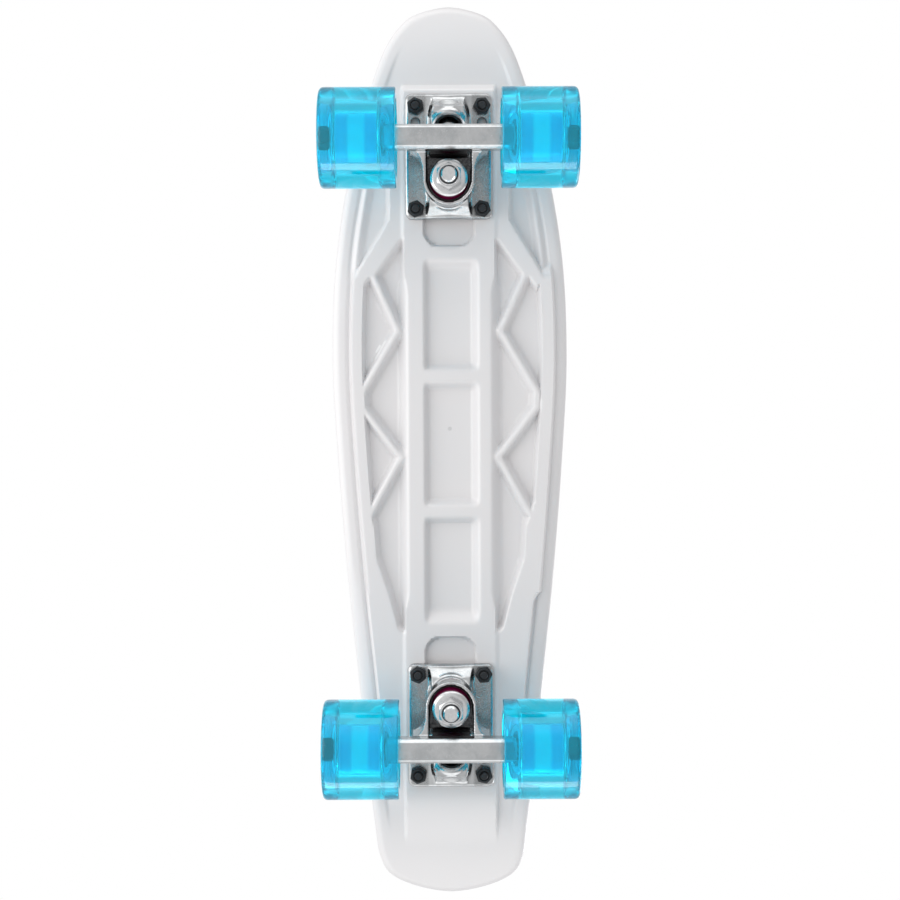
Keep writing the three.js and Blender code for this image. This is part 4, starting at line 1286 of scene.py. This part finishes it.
@dataclass
class Truck:
    """One truck: baseplate, pivot cup, hanger, axle and the kingpin with its two cushions."""

    name: str
    place: Matrix
    axle_drop: float = 50.0
    axle_radius: float = 4.0
    hanger_width: float = 83.0
    base_size: Spot = (54.5, 78.0, 4.5)
    base_middle: float = -5.25
    base_top: float = -0.3
    second_hole: float = 9.5
    kingpin_in: float = 23.5
    ring_drop: float = 30.5
    kingpin_tilt: float = 3.5
    boss_radius: float = 13.0
    boss_top: float = 16.5
    pivot_out: float = 16.0
    pivot_drop: float = 13.0
    pivot_turn: float = 135.0
    ring_inner: float = 13.8
    ring_wall: float = 1.7
    ring_thickness: float = 5.0
    cushion_radius: float = 12.9
    washer_radius: float = 11.6
    panel_slope: float = 1.2
    ramp_width: float = 27.5
    hole_radius: float = 2.7
    hole_mouth: float = 3.1
    pin_bore: float = 5.1
    pin_head_bore: float = 7.9
    ring_bore: float = 6.6
    axle_bore: float = 4.3
    axle_end: float = 75.9
    web_width: float = 22.8
    lip: Spot = (11.4, 8.5, 6.0)

    @property
    def kingpin(self) -> Matrix:
        """Frame of the kingpin: the middle of the hanger's ring, +Z along the pin towards the deck."""
        turn = Matrix.Rotation(math.radians(self.kingpin_tilt), 4, "X")
        return Matrix.Translation((0, -self.kingpin_in, -self.ring_drop)) @ turn

    @property
    def pivot(self) -> Matrix:
        """Frame of the pivot: the middle of the nub's ball, +Z out of the cup towards the hanger."""
        turn = Matrix.Rotation(math.radians(self.pivot_turn), 4, "X")
        return Matrix.Translation((0, self.pivot_out, -self.pivot_drop)) @ turn

    def baseplate(self) -> None:
        """Builds the cast baseplate with its ramp, ring boss and pivot housing."""
        wide, long, thick = self.base_size
        under = self.base_top - thick
        slab = bmesh.new()
        bmesh.ops.create_cube(slab, size=1.0, matrix=Matrix.LocRotScale(
            Vector((0, self.base_middle, self.base_top - thick / 2)), None, Vector((wide, long, thick))))
        soften(slab, 4.2, 6, lambda e: abs(e.verts[0].co.z - e.verts[1].co.z) > 1)
        soften(slab, 1.3, 1, lambda e: e.verts[0].co.z < under + 0.1 and e.verts[1].co.z < under + 0.1)
        divide(slab, (0, 0, 0), (1, 0, 0), False)
        for vert in slab.verts:
            if abs(vert.co.x) < 0.1 and vert.co.z < under + 1:
                vert.co.z -= self.panel_slope

        inner = self.base_middle - long / 2 + 1.2
        foot = -self.kingpin_in
        face = self.boss_top - self.ring_drop
        ramp = prism([(inner, self.base_top), (inner, under), (inner + 6.0, face + 4.0),
                      (foot - 7, face + 0.9), (foot + 7, face + 0.9), (foot + 16, -8.5),
                      (foot + 16, self.base_top)], self.ramp_width)
        for vert in ramp.verts:
            vert.co.x *= 1 - 0.018 * max(0.0, under - vert.co.z)
        boss = turned_block(self.boss_radius, self.boss_top, self.ring_drop - 3, self.kingpin)
        shoulder = turned_block(self.boss_radius + 1.2, self.boss_top + 4.0, self.ring_drop - 3, self.kingpin)

        housing = wedge([(-8.0, self.base_top, 13.4), (-8.0, -8.6, 13.0), (4.2, -9.0, 12.8),
                         (6.0, -10.4, 12.4), (19.6, -22.4, 10.6), (23.2, -22.6, 9.7), (26.4, -14.0, 9.4),
                         (28.8, -8.0, 9.7), (31.9, under, 10.6), (32.2, self.base_top, 10.8)])
        bell = plate([(-13.5, -8), (13.5, -8), (13.4, 12), (13.0, 20), (12.1, 25), (10.9, 29), (9.4, 32.4),
                      (-9.4, 32.4), (-10.9, 29), (-12.1, 25), (-13.0, 20), (-13.4, 12)], -9.5, self.base_top)
        for vert in bell.verts:
            if vert.co.z < under:
                vert.co.x *= 0.92
                vert.co.y = min(vert.co.y, 28.0)
        outer, cup_bore, mouth = self.lip
        collar = bmesh.new()
        rim = rounded_profile([(0, -6.5, 0), (outer, -6.5, 0), (outer, mouth, 2.3), (0, mouth, 0)])
        spin(collar, rim, 48, self.pivot)
        divide(collar, (0, 0, self.base_top), (0, 0, 1), True)
        forms = [slab, ramp, boss, shoulder, housing, bell, collar]
        piece = cast_piece(f"{self.name}_baseplate_casting", forms, self.place)

        across, along = BOLT_SPREAD
        low, wide, narrow = under - 4, self.hole_mouth, self.hole_radius
        hole = [(0, low), (wide, low), (wide, under + 0.1), (narrow, under + 0.6), (narrow, 4), (0, 4)]
        cutters = bmesh.new()
        for x in (-across, across):
            for y in (-along, along, along - self.second_hole):
                spin(cutters, hole, 24, self.place @ Matrix.Translation((x, self.base_middle - 1 + y, 0)))
        join(cutters, turned_block(cup_bore, -6.3, 14, self.place @ self.pivot))
        join(cutters, turned_block(self.pin_bore, -2, 50, self.place @ self.kingpin))
        join(cutters, turned_block(self.pin_head_bore, 24.3, 50, self.place @ self.kingpin))
        cut(piece, solid_mesh("holes", cutters))

        def rough_and_shaded_panel(spot: Vector) -> float:
            """Returns the share of rougher casting and painted shade on the low panels beside the ramp."""
            panel = float(eased((abs(spot.x) - 13.6) / 1.5) * eased((spot.z - under + 2.6) / 1.2))
            return 0.38 * panel * float(eased((self.base_size[0] / 2 - 1.6 - abs(spot.x)) / 0.8))

        # The recess mark paints shade on the low panels beside the ramp and roughens them.
        mark(piece, "recess", self.place, rough_and_shaded_panel)
        finish_piece(piece, "deck", Dress.CASTING, [f"{self.name}_baseplate"], crease=40.0)

    def ring_plan(self, half: float, flare: float, beyond: float = 0.0) -> list[Point]:
        """Returns the plan of the ring's U, whose arms flare into the axle bar and may end beyond it."""
        bar_face = self.kingpin_in - 7.35
        right: list[Point] = [(half + flare, bar_face + 3.0 + beyond)]
        if flare > 0:
            start, bend, end = (half + flare, bar_face), (half + 0.9, bar_face - 1.2), (half, bar_face - 13.0)
            for t in np.linspace(0, 1, 13):
                right.append(tuple((1 - t) ** 2 * a + 2 * t * (1 - t) * b + t * t * c
                                   for a, b, c in zip(start, bend, end)))
        arc = [(half * math.cos(t), -half * math.sin(t)) for t in np.linspace(0, math.pi, 33)]
        left = [(-x, y) for x, y in reversed(right)]
        return right + arc + left

    def hanger(self) -> None:
        """Builds the cast hanger: axle bar, flared arms, thin ring wall, seat and pivot nub."""
        drop, seat = self.axle_drop, self.ring_thickness / 2
        low, high = -drop - 8.0, -drop + 8.5
        bar = prism([(-5.3, low), (5.3, low), (7.5, low + 2.4), (7.5, -drop + 3), (4.6, high), (-4.6, high),
                     (-7.5, -drop + 3), (-7.5, low + 2.4)], self.hanger_width)
        ends = [turned_block(7.2, self.hanger_width / 2 - 3.0, self.hanger_width / 2,
                             Matrix.Translation((0, 0, -drop)) @ Matrix.Rotation(side * math.pi / 2, 4, "Y"))
                for side in (-1, 1)]
        wall = plate(self.ring_plan(self.ring_inner + self.ring_wall, 8.0), -23.0, seat)
        divide(wall, (0, -16, -6.4), (0, -0.345, -0.94), True)
        bmesh.ops.recalc_face_normals(wall, faces=wall.faces)
        walls = solid_mesh("walls", wall, 1.0)
        hollow = plate(self.ring_plan(self.ring_inner, 0.0, 3.0), -60.0, -seat)
        cut(walls, solid_mesh("hollow", hollow, 1.0))
        wall = bmesh.new()
        wall.from_mesh(walls.data)
        bpy.data.objects.remove(walls)
        bmesh.ops.transform(wall, matrix=self.kingpin, verts=wall.verts)

        tilt = math.radians(self.kingpin_tilt)

        def by_pin(across: float, along: float) -> Point:
            """Returns a side-view point given from the ring's middle, across towards the axle."""
            return (-self.kingpin_in + across * math.cos(tilt) - along * math.sin(tilt),
                    -self.ring_drop + across * math.sin(tilt) + along * math.cos(tilt))

        web = prism([by_pin(8.2, seat), by_pin(8.2, 0.0), by_pin(self.ring_inner, 0.0), (-7.2, -drop),
                     (3.6, -drop + 4), (7.2, -drop + 8.5), by_pin(self.kingpin_in, seat)], self.web_width)
        nub = bmesh.new()
        ball = rounded_profile([(0, -5, 0), (3.4, -3.8, 0.6), (5.0, -0.6, 1.0), (4.6, 5, 1.0),
                                (6.1, 9.5, 1.2), (6.9, 26, 0), (0, 26, 0)])
        spin(nub, ball, 36, self.pivot)
        piece = cast_piece(f"{self.name}_hanger_casting", [bar, *ends, wall, web, nub], self.place,
                           voxel=0.5, smoothing=3)
        holes = turned_block(self.ring_bore, -8, 8, self.place @ self.kingpin)
        axle = Matrix.Translation((0, 0, -drop)) @ Matrix.Rotation(math.pi / 2, 4, "Y")
        join(holes, turned_block(self.axle_bore, -60, 60, self.place @ axle))
        cut(piece, solid_mesh("holes", holes))

        def pocket(spot: Vector) -> float:
            """Returns 1 on the rougher ceiling and web of the ring's pocket, where shade is painted."""
            across = abs(spot.x) if spot.y > 0 else math.hypot(spot.x, spot.y)
            inside = float(across < self.ring_inner - 0.3) * float(eased((0.6 - spot.z - seat) / 0.6))
            return inside * float(spot.y < self.kingpin_in - 9.0)

        # The recess mark paints deep shade into the ring's pocket.
        mark(piece, "recess", self.place @ self.kingpin, pocket)
        body = f"{self.name}_hanger"
        finish_piece(piece, body, Dress.CASTING, [body], crease=40.0)

    def pivot_cup(self) -> None:
        """Builds the plastic cup that the hanger's nub turns in."""
        profile = rounded_profile([(0, -6, 0), (8.25, -6, 0.8), (8.25, 5.8, 1.0), (6.6, 5.8, 0.5),
                                   (5.3, 0, 0.8), (3.8, -3.8, 0.8), (0, -5.3, 0)])
        piece = spun_piece(f"{self.name}_pivot_cup_moulding", profile, 48, self.place @ self.pivot)
        finish_piece(piece, "deck", Dress.PIVOT, [f"{self.name}_pivot_cup"])

    def cushions(self) -> None:
        """Builds the two urethane cushions, each seated at one end and bending with the ring at the other."""
        here = self.place @ self.kingpin
        for side, low, high, low_radius in (("deck_side", 2.8, 16.5, self.cushion_radius),
                                            ("road_side", -12.8, -2.8, self.washer_radius - 0.2)):
            middle = (low + high) / 2
            high_radius = self.cushion_radius if low > 0 else self.cushion_radius - 0.5
            widening = high_radius - low_radius
            ribs = [(low_radius + widening * (share + 0.5) - waist, middle + (high - low) * share, 0.9)
                    for share, waist in ((-0.34, 0.0), (-0.2, 0.45), (0.0, 0.8), (0.2, 0.45), (0.34, 0.0))]
            top, inner, foot = ((5.05 if abs(z) > 8 else 5.7, z, 0.3) for z in (high, middle, low))
            profile = rounded_profile([foot, (low_radius - 0.6, low, 0.8), *ribs,
                                       (high_radius - 0.6, high, 0.8), top, inner])
            piece = spun_piece(f"{self.name}_{side}_cushion_moulding", profile, 56, here)
            fixed, ringed = (high - 2.5, low + 0.6) if low > 0 else (low + 1.6, high - 0.6)
            start, end = here @ Vector((0, 0, fixed)), here @ Vector((0, 0, ringed))
            bend = Bend("deck", f"{self.name}_hanger", start, end)
            finish_piece(piece, bend, Dress.CUSHION, [f"{self.name}_{side}_cushion"])

    def kingpin_set(self) -> None:
        """Builds the kingpin, its cup washer and its locking nut."""
        frame_here = self.place @ self.kingpin
        low, head = -27.7, 29.3
        thread = threaded_profile(radius=4.72, low=low + 1.0, high=-12.0, pitch=1.25, depth=0.42)
        profile = [(0, low), (3.9, low), *thread, (4.75, -11.6), (4.75, head - 5), (7.4, head - 5),
                   (7.6, head - 4.7), (7.6, head - 0.5), (7.1, head), (0, head)]
        pin = spun_piece(f"{self.name}_kingpin_turning", profile, 40, frame_here)
        finish_piece(pin, "deck", Dress.STEEL, [f"{self.name}_kingpin"])
        r = self.washer_radius
        cup = rounded_profile([(5.05, -14.6, 0.2), (r - 1.6, -14.6, 0.8), (r - 0.2, -13.6, 0.5),
                               (r, -12.5, 0.3), (r - 0.9, -12.5, 0.3), (r - 1.5, -13.1, 0.4),
                               (5.05, -13.1, 0.2)])
        washer = spun_piece(f"{self.name}_cup_washer_pressing", cup, 64, frame_here)
        finish_piece(washer, "deck", Dress.STEEL, [f"{self.name}_cup_washer"])
        seat = frame_here @ Matrix.Translation((0, 0, -14.9)) @ Matrix.Rotation(math.pi, 4, "X")
        nut = hex_nut(f"{self.name}_kingpin_lock_nut", flats=14.3, height=7.5, bore=4.95, place=seat,
                      collar=1.8)
        finish_piece(nut, "deck", Dress.STEEL, [f"{self.name}_kingpin_nut"], crease=28.0)
        ring = rounded_profile([(4.5, 5.8, 0), (5.8, 5.8, 0), (5.8, 7.4, 0.3), (4.5, 7.4, 0.3)])
        lock = spun_piece(f"{self.name}_kingpin_nut_lock_ring", ring, 40, seat)
        finish_piece(lock, "deck", Dress.LOCK_RING)

    def axle(self) -> None:
        """Builds the axle with its threaded ends."""
        end = self.axle_end
        thread = threaded_profile(radius=3.98, low=-end + 0.7, high=-66.0, pitch=1.0, depth=0.32)
        half = [(0, -end), (3.1, -end), *thread, (self.axle_radius, -65.6)]
        mirrored = [(r, -z) for r, z in reversed(half)]
        turn = self.place @ Matrix.Translation((0, 0, -self.axle_drop)) @ Matrix.Rotation(math.pi / 2, 4, "Y")
        piece = spun_piece(f"{self.name}_axle_turning", half + mirrored, 36, turn)
        finish_piece(piece, f"{self.name}_hanger", Dress.AXLE_STEEL, [f"{self.name}_axle"])

    def build(self) -> None:
        """Builds and dresses the whole truck."""
        self.baseplate()
        self.hanger()
        self.pivot_cup()
        self.cushions()
        self.kingpin_set()
        self.axle()


# Wheels


@dataclass
class Wheel:
    """One wheel: clear tyre cast round a rigid core, two shielded bearings, spacer and axle nut."""

    name: str
    truck: Truck
    side: int
    radius: float = 30.0
    width: float = 45.0
    core_radius: float = 15.0
    core_width: float = 24.0
    middle: float = 54.5

    @property
    def place(self) -> Matrix:
        """Frame of the wheel: its middle, +Z outwards along the axle."""
        move = Matrix.Translation((self.side * self.middle, 0, -self.truck.axle_drop))
        return self.truck.place @ move @ Matrix.Rotation(self.side * math.pi / 2, 4, "Y")

    def tyre(self) -> None:
        """Builds the clear tyre with its rounded lips."""
        half, core = self.width / 2, self.core_width / 2
        profile = rounded_profile([
            (self.core_radius + 0.1, -core, 0), (19.6, -core - 0.2, 3.0), (22.6, -half - 0.4, 1.4),
            (26.5, -half - 0.7, 1.2), (self.radius, -half - 0.7, 1.3), (self.radius, half, 3.3),
            (25.2, half, 1.6), (22.6, half - 0.4, 1.4), (19.6, core + 0.2, 3.0),
            (self.core_radius + 0.1, core, 0)], 8)
        piece = spun_piece(f"{self.name}_tyre_casting", profile, 120, self.place)
        finish_piece(piece, f"{self.name}_wheel", Dress.TYRE, [f"{self.name}_wheel_tyre"], crease=50.0)

    def core(self) -> None:
        """Builds the core with its bearing seats and ribs."""
        half, stop, seat = self.core_width / 2, self.core_width / 2 - 7, 11.1
        r = self.core_radius
        profile = rounded_profile([
            (seat, -half, 0.3), (r, -half, 0.5), (r, -stop - 1.0, 0.3), (r - 0.7, -stop + 1.2, 0.3),
            (r - 0.7, stop - 1.2, 0.3), (r, stop + 1.0, 0.3), (r, half, 0.5), (seat, half, 0.3),
            (seat, stop, 0), (9.5, stop, 0.3), (9.5, -stop, 0.3), (seat, -stop, 0)], 4)
        piece = spun_piece(f"{self.name}_core_moulding", profile, 72, self.place)
        # The web mark places the painted highlight on the middle of the core.
        mark(piece, "web", self.place, lambda spot: float(eased((stop + 1.0 - abs(spot.z)) / 2.2)))
        finish_piece(piece, f"{self.name}_wheel", Dress.CORE, [f"{self.name}_wheel_core"])

    def bearings(self) -> None:
        """Builds both bearings, each with an outer race and a recessed shield."""
        half, sunk = 3.4, 0.5
        ring = rounded_profile([
            (6.5, -half + sunk, 0.1), (9.4, -half + sunk, 0.1), (9.6, -half, 0.1), (11.0, -half, 0.4),
            (11.0, half, 0.4), (9.6, half, 0.1), (9.4, half - sunk, 0.1), (6.5, half - sunk, 0.1)], 3)
        for label, middle in (("outer", 8.5), ("inner", -8.5)):
            place = self.place @ Matrix.Translation((0, 0, middle))
            piece = spun_piece(f"{self.name}_{label}_bearing_rings", ring, 56, place)
            finish_piece(piece, f"{self.name}_wheel", Dress.STEEL, [f"{self.name}_{label}_bearing"])

    def sleeve(self) -> None:
        """Builds the inner races, the spacer between them and the two speed washers."""
        half = 12.85
        profile = rounded_profile([
            (4.25, -half, 0.1), (5.4, -half, 0.15), (5.4, -12.0, 0.1), (6.0, -12.0, 0.2), (6.0, -5.2, 0.2),
            (5.2, -4.9, 0.1), (5.2, 4.9, 0.1), (6.0, 5.2, 0.2), (6.0, 12.0, 0.2), (5.4, 12.0, 0.1),
            (5.4, half, 0.15), (4.25, half, 0.1)], 3)
        piece = spun_piece(f"{self.name}_bearing_sleeve_turning", profile, 40, self.place)
        finish_piece(piece, f"{self.truck.name}_hanger", Dress.STEEL, [f"{self.name}_bearing_sleeve"])

    def nut(self) -> None:
        """Builds the axle's locking nut."""
        seat = self.place @ Matrix.Translation((0, 0, 13.15))
        piece = hex_nut(f"{self.name}_axle_lock_nut", flats=12.7, height=6.5, bore=4.15, place=seat,
                        collar=1.5)
        finish_piece(piece, f"{self.truck.name}_hanger", Dress.BLACK, [f"{self.name}_axle_nut"], crease=28.0)

    def build(self) -> None:
        """Builds and dresses the whole wheel."""
        self.tyre()
        self.core()
        self.bearings()
        self.sleeve()
        self.nut()


# Deck bolts


@dataclass
class DeckBolts:
    """The four countersunk bolts through the deck and one baseplate, with their locking nuts."""

    name: str
    middle: float
    top: float = 92.0
    seat: float = 74.9

    def bolt(self, label: str, place: Matrix) -> None:
        """Builds one bolt with a cross recess in its head.

        Args:
            label: The bolt's number.
            place: Its place across and along.
        """
        head = self.top - 0.6
        thread = threaded_profile(radius=2.38, low=68.4, high=78.0, pitch=0.8, depth=0.22)
        profile = [(0, 67.9), (1.9, 67.9), *thread, (2.4, 78.4), (2.4, head - 2.6), (4.65, head - 0.25),
                   (4.5, head), (0, head)]
        piece = spun_piece(f"{self.name}_deck_bolt_{label}_turning", profile, 32, place)
        cross = bmesh.new()
        for wide, long in ((0.9, 4.6), (4.6, 0.9)):
            bmesh.ops.create_cube(cross, size=1.0, matrix=place @ Matrix.LocRotScale(
                Vector((0, 0, head)), None, Vector((wide, long, 2.4))))
        cut(piece, solid_mesh("cross", cross))
        finish_piece(piece, "deck", Dress.BLACK, [f"{self.name}_deck_bolt_{label}"])

    def build(self) -> None:
        """Builds and dresses the four bolts and nuts."""
        across, along = BOLT_SPREAD
        places = [(x, y) for x in (-across, across) for y in (-along, along)]
        for index, (x, y) in enumerate(places, 1):
            place = Matrix.Translation((x, self.middle + y, 0))
            self.bolt(str(index), place)
            turn = Matrix.Rotation(math.radians(17 * index), 4, "Z")
            seat = place @ Matrix.Translation((0, 0, self.seat)) @ Matrix.Rotation(math.pi, 4, "X") @ turn
            nut = hex_nut(f"{self.name}_deck_nut_{index}_turning", flats=9.5, height=5.5, bore=2.5,
                          place=seat, collar=1.3)
            finish_piece(nut, "deck", Dress.BLACK, [f"{self.name}_deck_nut_{index}"], crease=28.0)


# Studio


@dataclass(frozen=True)
class SoftLight:
    """One soft rectangular light, in metres and watts."""

    name: str
    place: Spot
    target: Spot
    size: Point
    power: float
    colour: Colour = (1.0, 1.0, 1.0)
    glossy: bool = True

    def add(self) -> bpy.types.Object:
        """Adds the light to the scene.

        Returns:
            The light.
        """
        lamp = bpy.data.lights.new(self.name, "AREA")
        lamp.shape = "RECTANGLE"
        lamp.size, lamp.size_y = self.size
        lamp.energy = self.power
        lamp.color = self.colour
        holder = bpy.data.objects.new(self.name, lamp)
        holder.location = self.place
        holder.rotation_euler = (Vector(self.target) - Vector(self.place)).to_track_quat("-Z", "Y").to_euler()
        holder.visible_camera = False
        holder.visible_glossy = self.glossy
        bpy.context.scene.collection.objects.link(holder)
        return holder


@dataclass
class Studio:
    """Floor, soft lights, pale surroundings and the camera under the board."""

    camera_place: Spot = (0.0, 0.04977, -1.01569)
    tilt: float = 0.039
    roll: float = -0.0042
    lens: float = 69.75
    floor_radius: float = 14000.0
    dark_side: Colour = (0.50, 0.50, 0.505)
    light_side: Colour = (0.94, 0.94, 0.94)
    ends: Colour = (1.5, 1.5, 1.5)
    nose_strip: Colour = (2.1, 2.1, 2.1)
    tail_strip: Colour = (1.8, 1.8, 1.8)
    ceiling: Colour = (0.62, 0.62, 0.63)
    white: Colour = (1.0, 1.0, 1.0)
    lights: Sequence[SoftLight] = (
        SoftLight("key_from_left", (1.1, 0.15, -0.55), (0, 0, 0.08), (0.9, 1.6), 6.5, (1.0, 0.985, 0.98)),
        SoftLight("window_above", (-1.3, -0.9, 1.0), (0, 0, 0.08), (0.8, 1.4), 13.0),
        SoftLight("nose_glow", (0.10, 0.44, -0.42), (0.02, 0.235, 0.09), (0.22, 0.30), 0.24,
                  (1.0, 0.99, 0.985), glossy=False),
    )
    wheel_strips: Sequence[SoftLight] = (
        SoftLight("front_wheel_strip", (0.0, -0.77, -0.23), (0.0, 0.195, 0.03), (1.0, 0.30), 3.8),
        SoftLight("rear_wheel_strip", (0.0, -1.146, -0.20), (0.0, -0.172, 0.03), (1.0, 0.30), 3.8),
    )

    def floor(self) -> None:
        """Lays the floor that the wheels stand on."""
        bm = bmesh.new()
        bmesh.ops.create_circle(bm, cap_ends=True, segments=96, radius=self.floor_radius)
        floor = solid_mesh("floor", bm)
        floor.data.materials.append(FloorPaper().material())
        floor.visible_diffuse = floor.visible_glossy = False
        floor.visible_transmission = floor.visible_shadow = False

    def light_wheels(self) -> None:
        """Adds one long light per truck whose reflection lies along the tail side of its wheels only."""
        for strip, end in zip(self.wheel_strips, ("front", "rear")):
            wheels = bpy.data.collections.new(f"{end}_wheels_in_strip_light")
            for side in ("right", "left"):
                wheels.objects.link(bpy.data.objects[f"{end}_{side}_tyre_casting"])
            strip.add().light_linking.receiver_collection = wheels

    def surroundings(self) -> None:
        """Surrounds the scene: white above, a fall from left to right below, a bright strip past each end."""
        g = SkyGraph("studio_air")
        x, y, z = g.directions()
        sides = g.blend(x.step(-0.5, 0.5), self.dark_side, self.light_side)
        ends = g.blend(abs(y).step(0.6, 0.96), sides, self.ends)
        above = g.blend(z.step(0.05, 0.4), ends, self.ceiling)
        strip = abs(y).step(0.86, 0.93) * z.step(-0.34, -0.26) * (1.0 - z.step(0.08, 0.14))
        above = g.blend(strip, above, g.blend(y.step(-0.1, 0.1), self.tail_strip, self.nose_strip))
        colour = g.blend(z.step(0.84, 0.92), above, self.white)
        back = g.node("ShaderNodeBackground", None, {"Color": colour, "Strength": 1.0})
        g.node("ShaderNodeOutputWorld", None, {"Surface": back.outputs[0]})
        bpy.context.scene.view_settings.view_transform = "Standard"

    def camera(self) -> None:
        """Sets the camera below the board, looking up, with the nose at the top of the picture."""
        lens = bpy.data.cameras.new("camera")
        lens.lens = self.lens
        lens.sensor_width = 36.0
        lens.clip_start, lens.clip_end = 0.05, 50.0
        holder = bpy.data.objects.new("camera", lens)
        holder.location = self.camera_place
        look_up = Matrix.Rotation(math.pi, 4, "Y")
        turn = Matrix.Rotation(self.tilt, 4, "X") @ look_up @ Matrix.Rotation(self.roll, 4, "Z")
        holder.rotation_euler = turn.to_euler()
        bpy.context.scene.collection.objects.link(holder)
        bpy.context.scene.camera = holder

    def build(self) -> None:
        """Sets up the whole studio."""
        self.floor()
        self.surroundings()
        for light in self.lights:
            light.add()
        self.light_wheels()
        self.camera()


def main() -> None:
    """Builds the board piece by piece and sets up the studio."""
    logging.basicConfig(level=logging.INFO, format="%(name)s %(message)s")
    Deck().build()
    front = Truck("front", Matrix.Translation((0, 195.25, 80)))
    rear = Truck("rear", Matrix.Translation((0, -171.85, 80)) @ Matrix.Rotation(math.pi, 4, "Z"))
    for truck, sides in ((front, {"right": 1, "left": -1}), (rear, {"left": 1, "right": -1})):
        truck.build()
        for label, side in sides.items():
            Wheel(f"{truck.name}_{label}", truck, side).build()
    DeckBolts("front", FRONT_BOLTS).build()
    DeckBolts("rear", REAR_BOLTS).build()
    Studio().build()


if __name__ == "__main__":
    main()
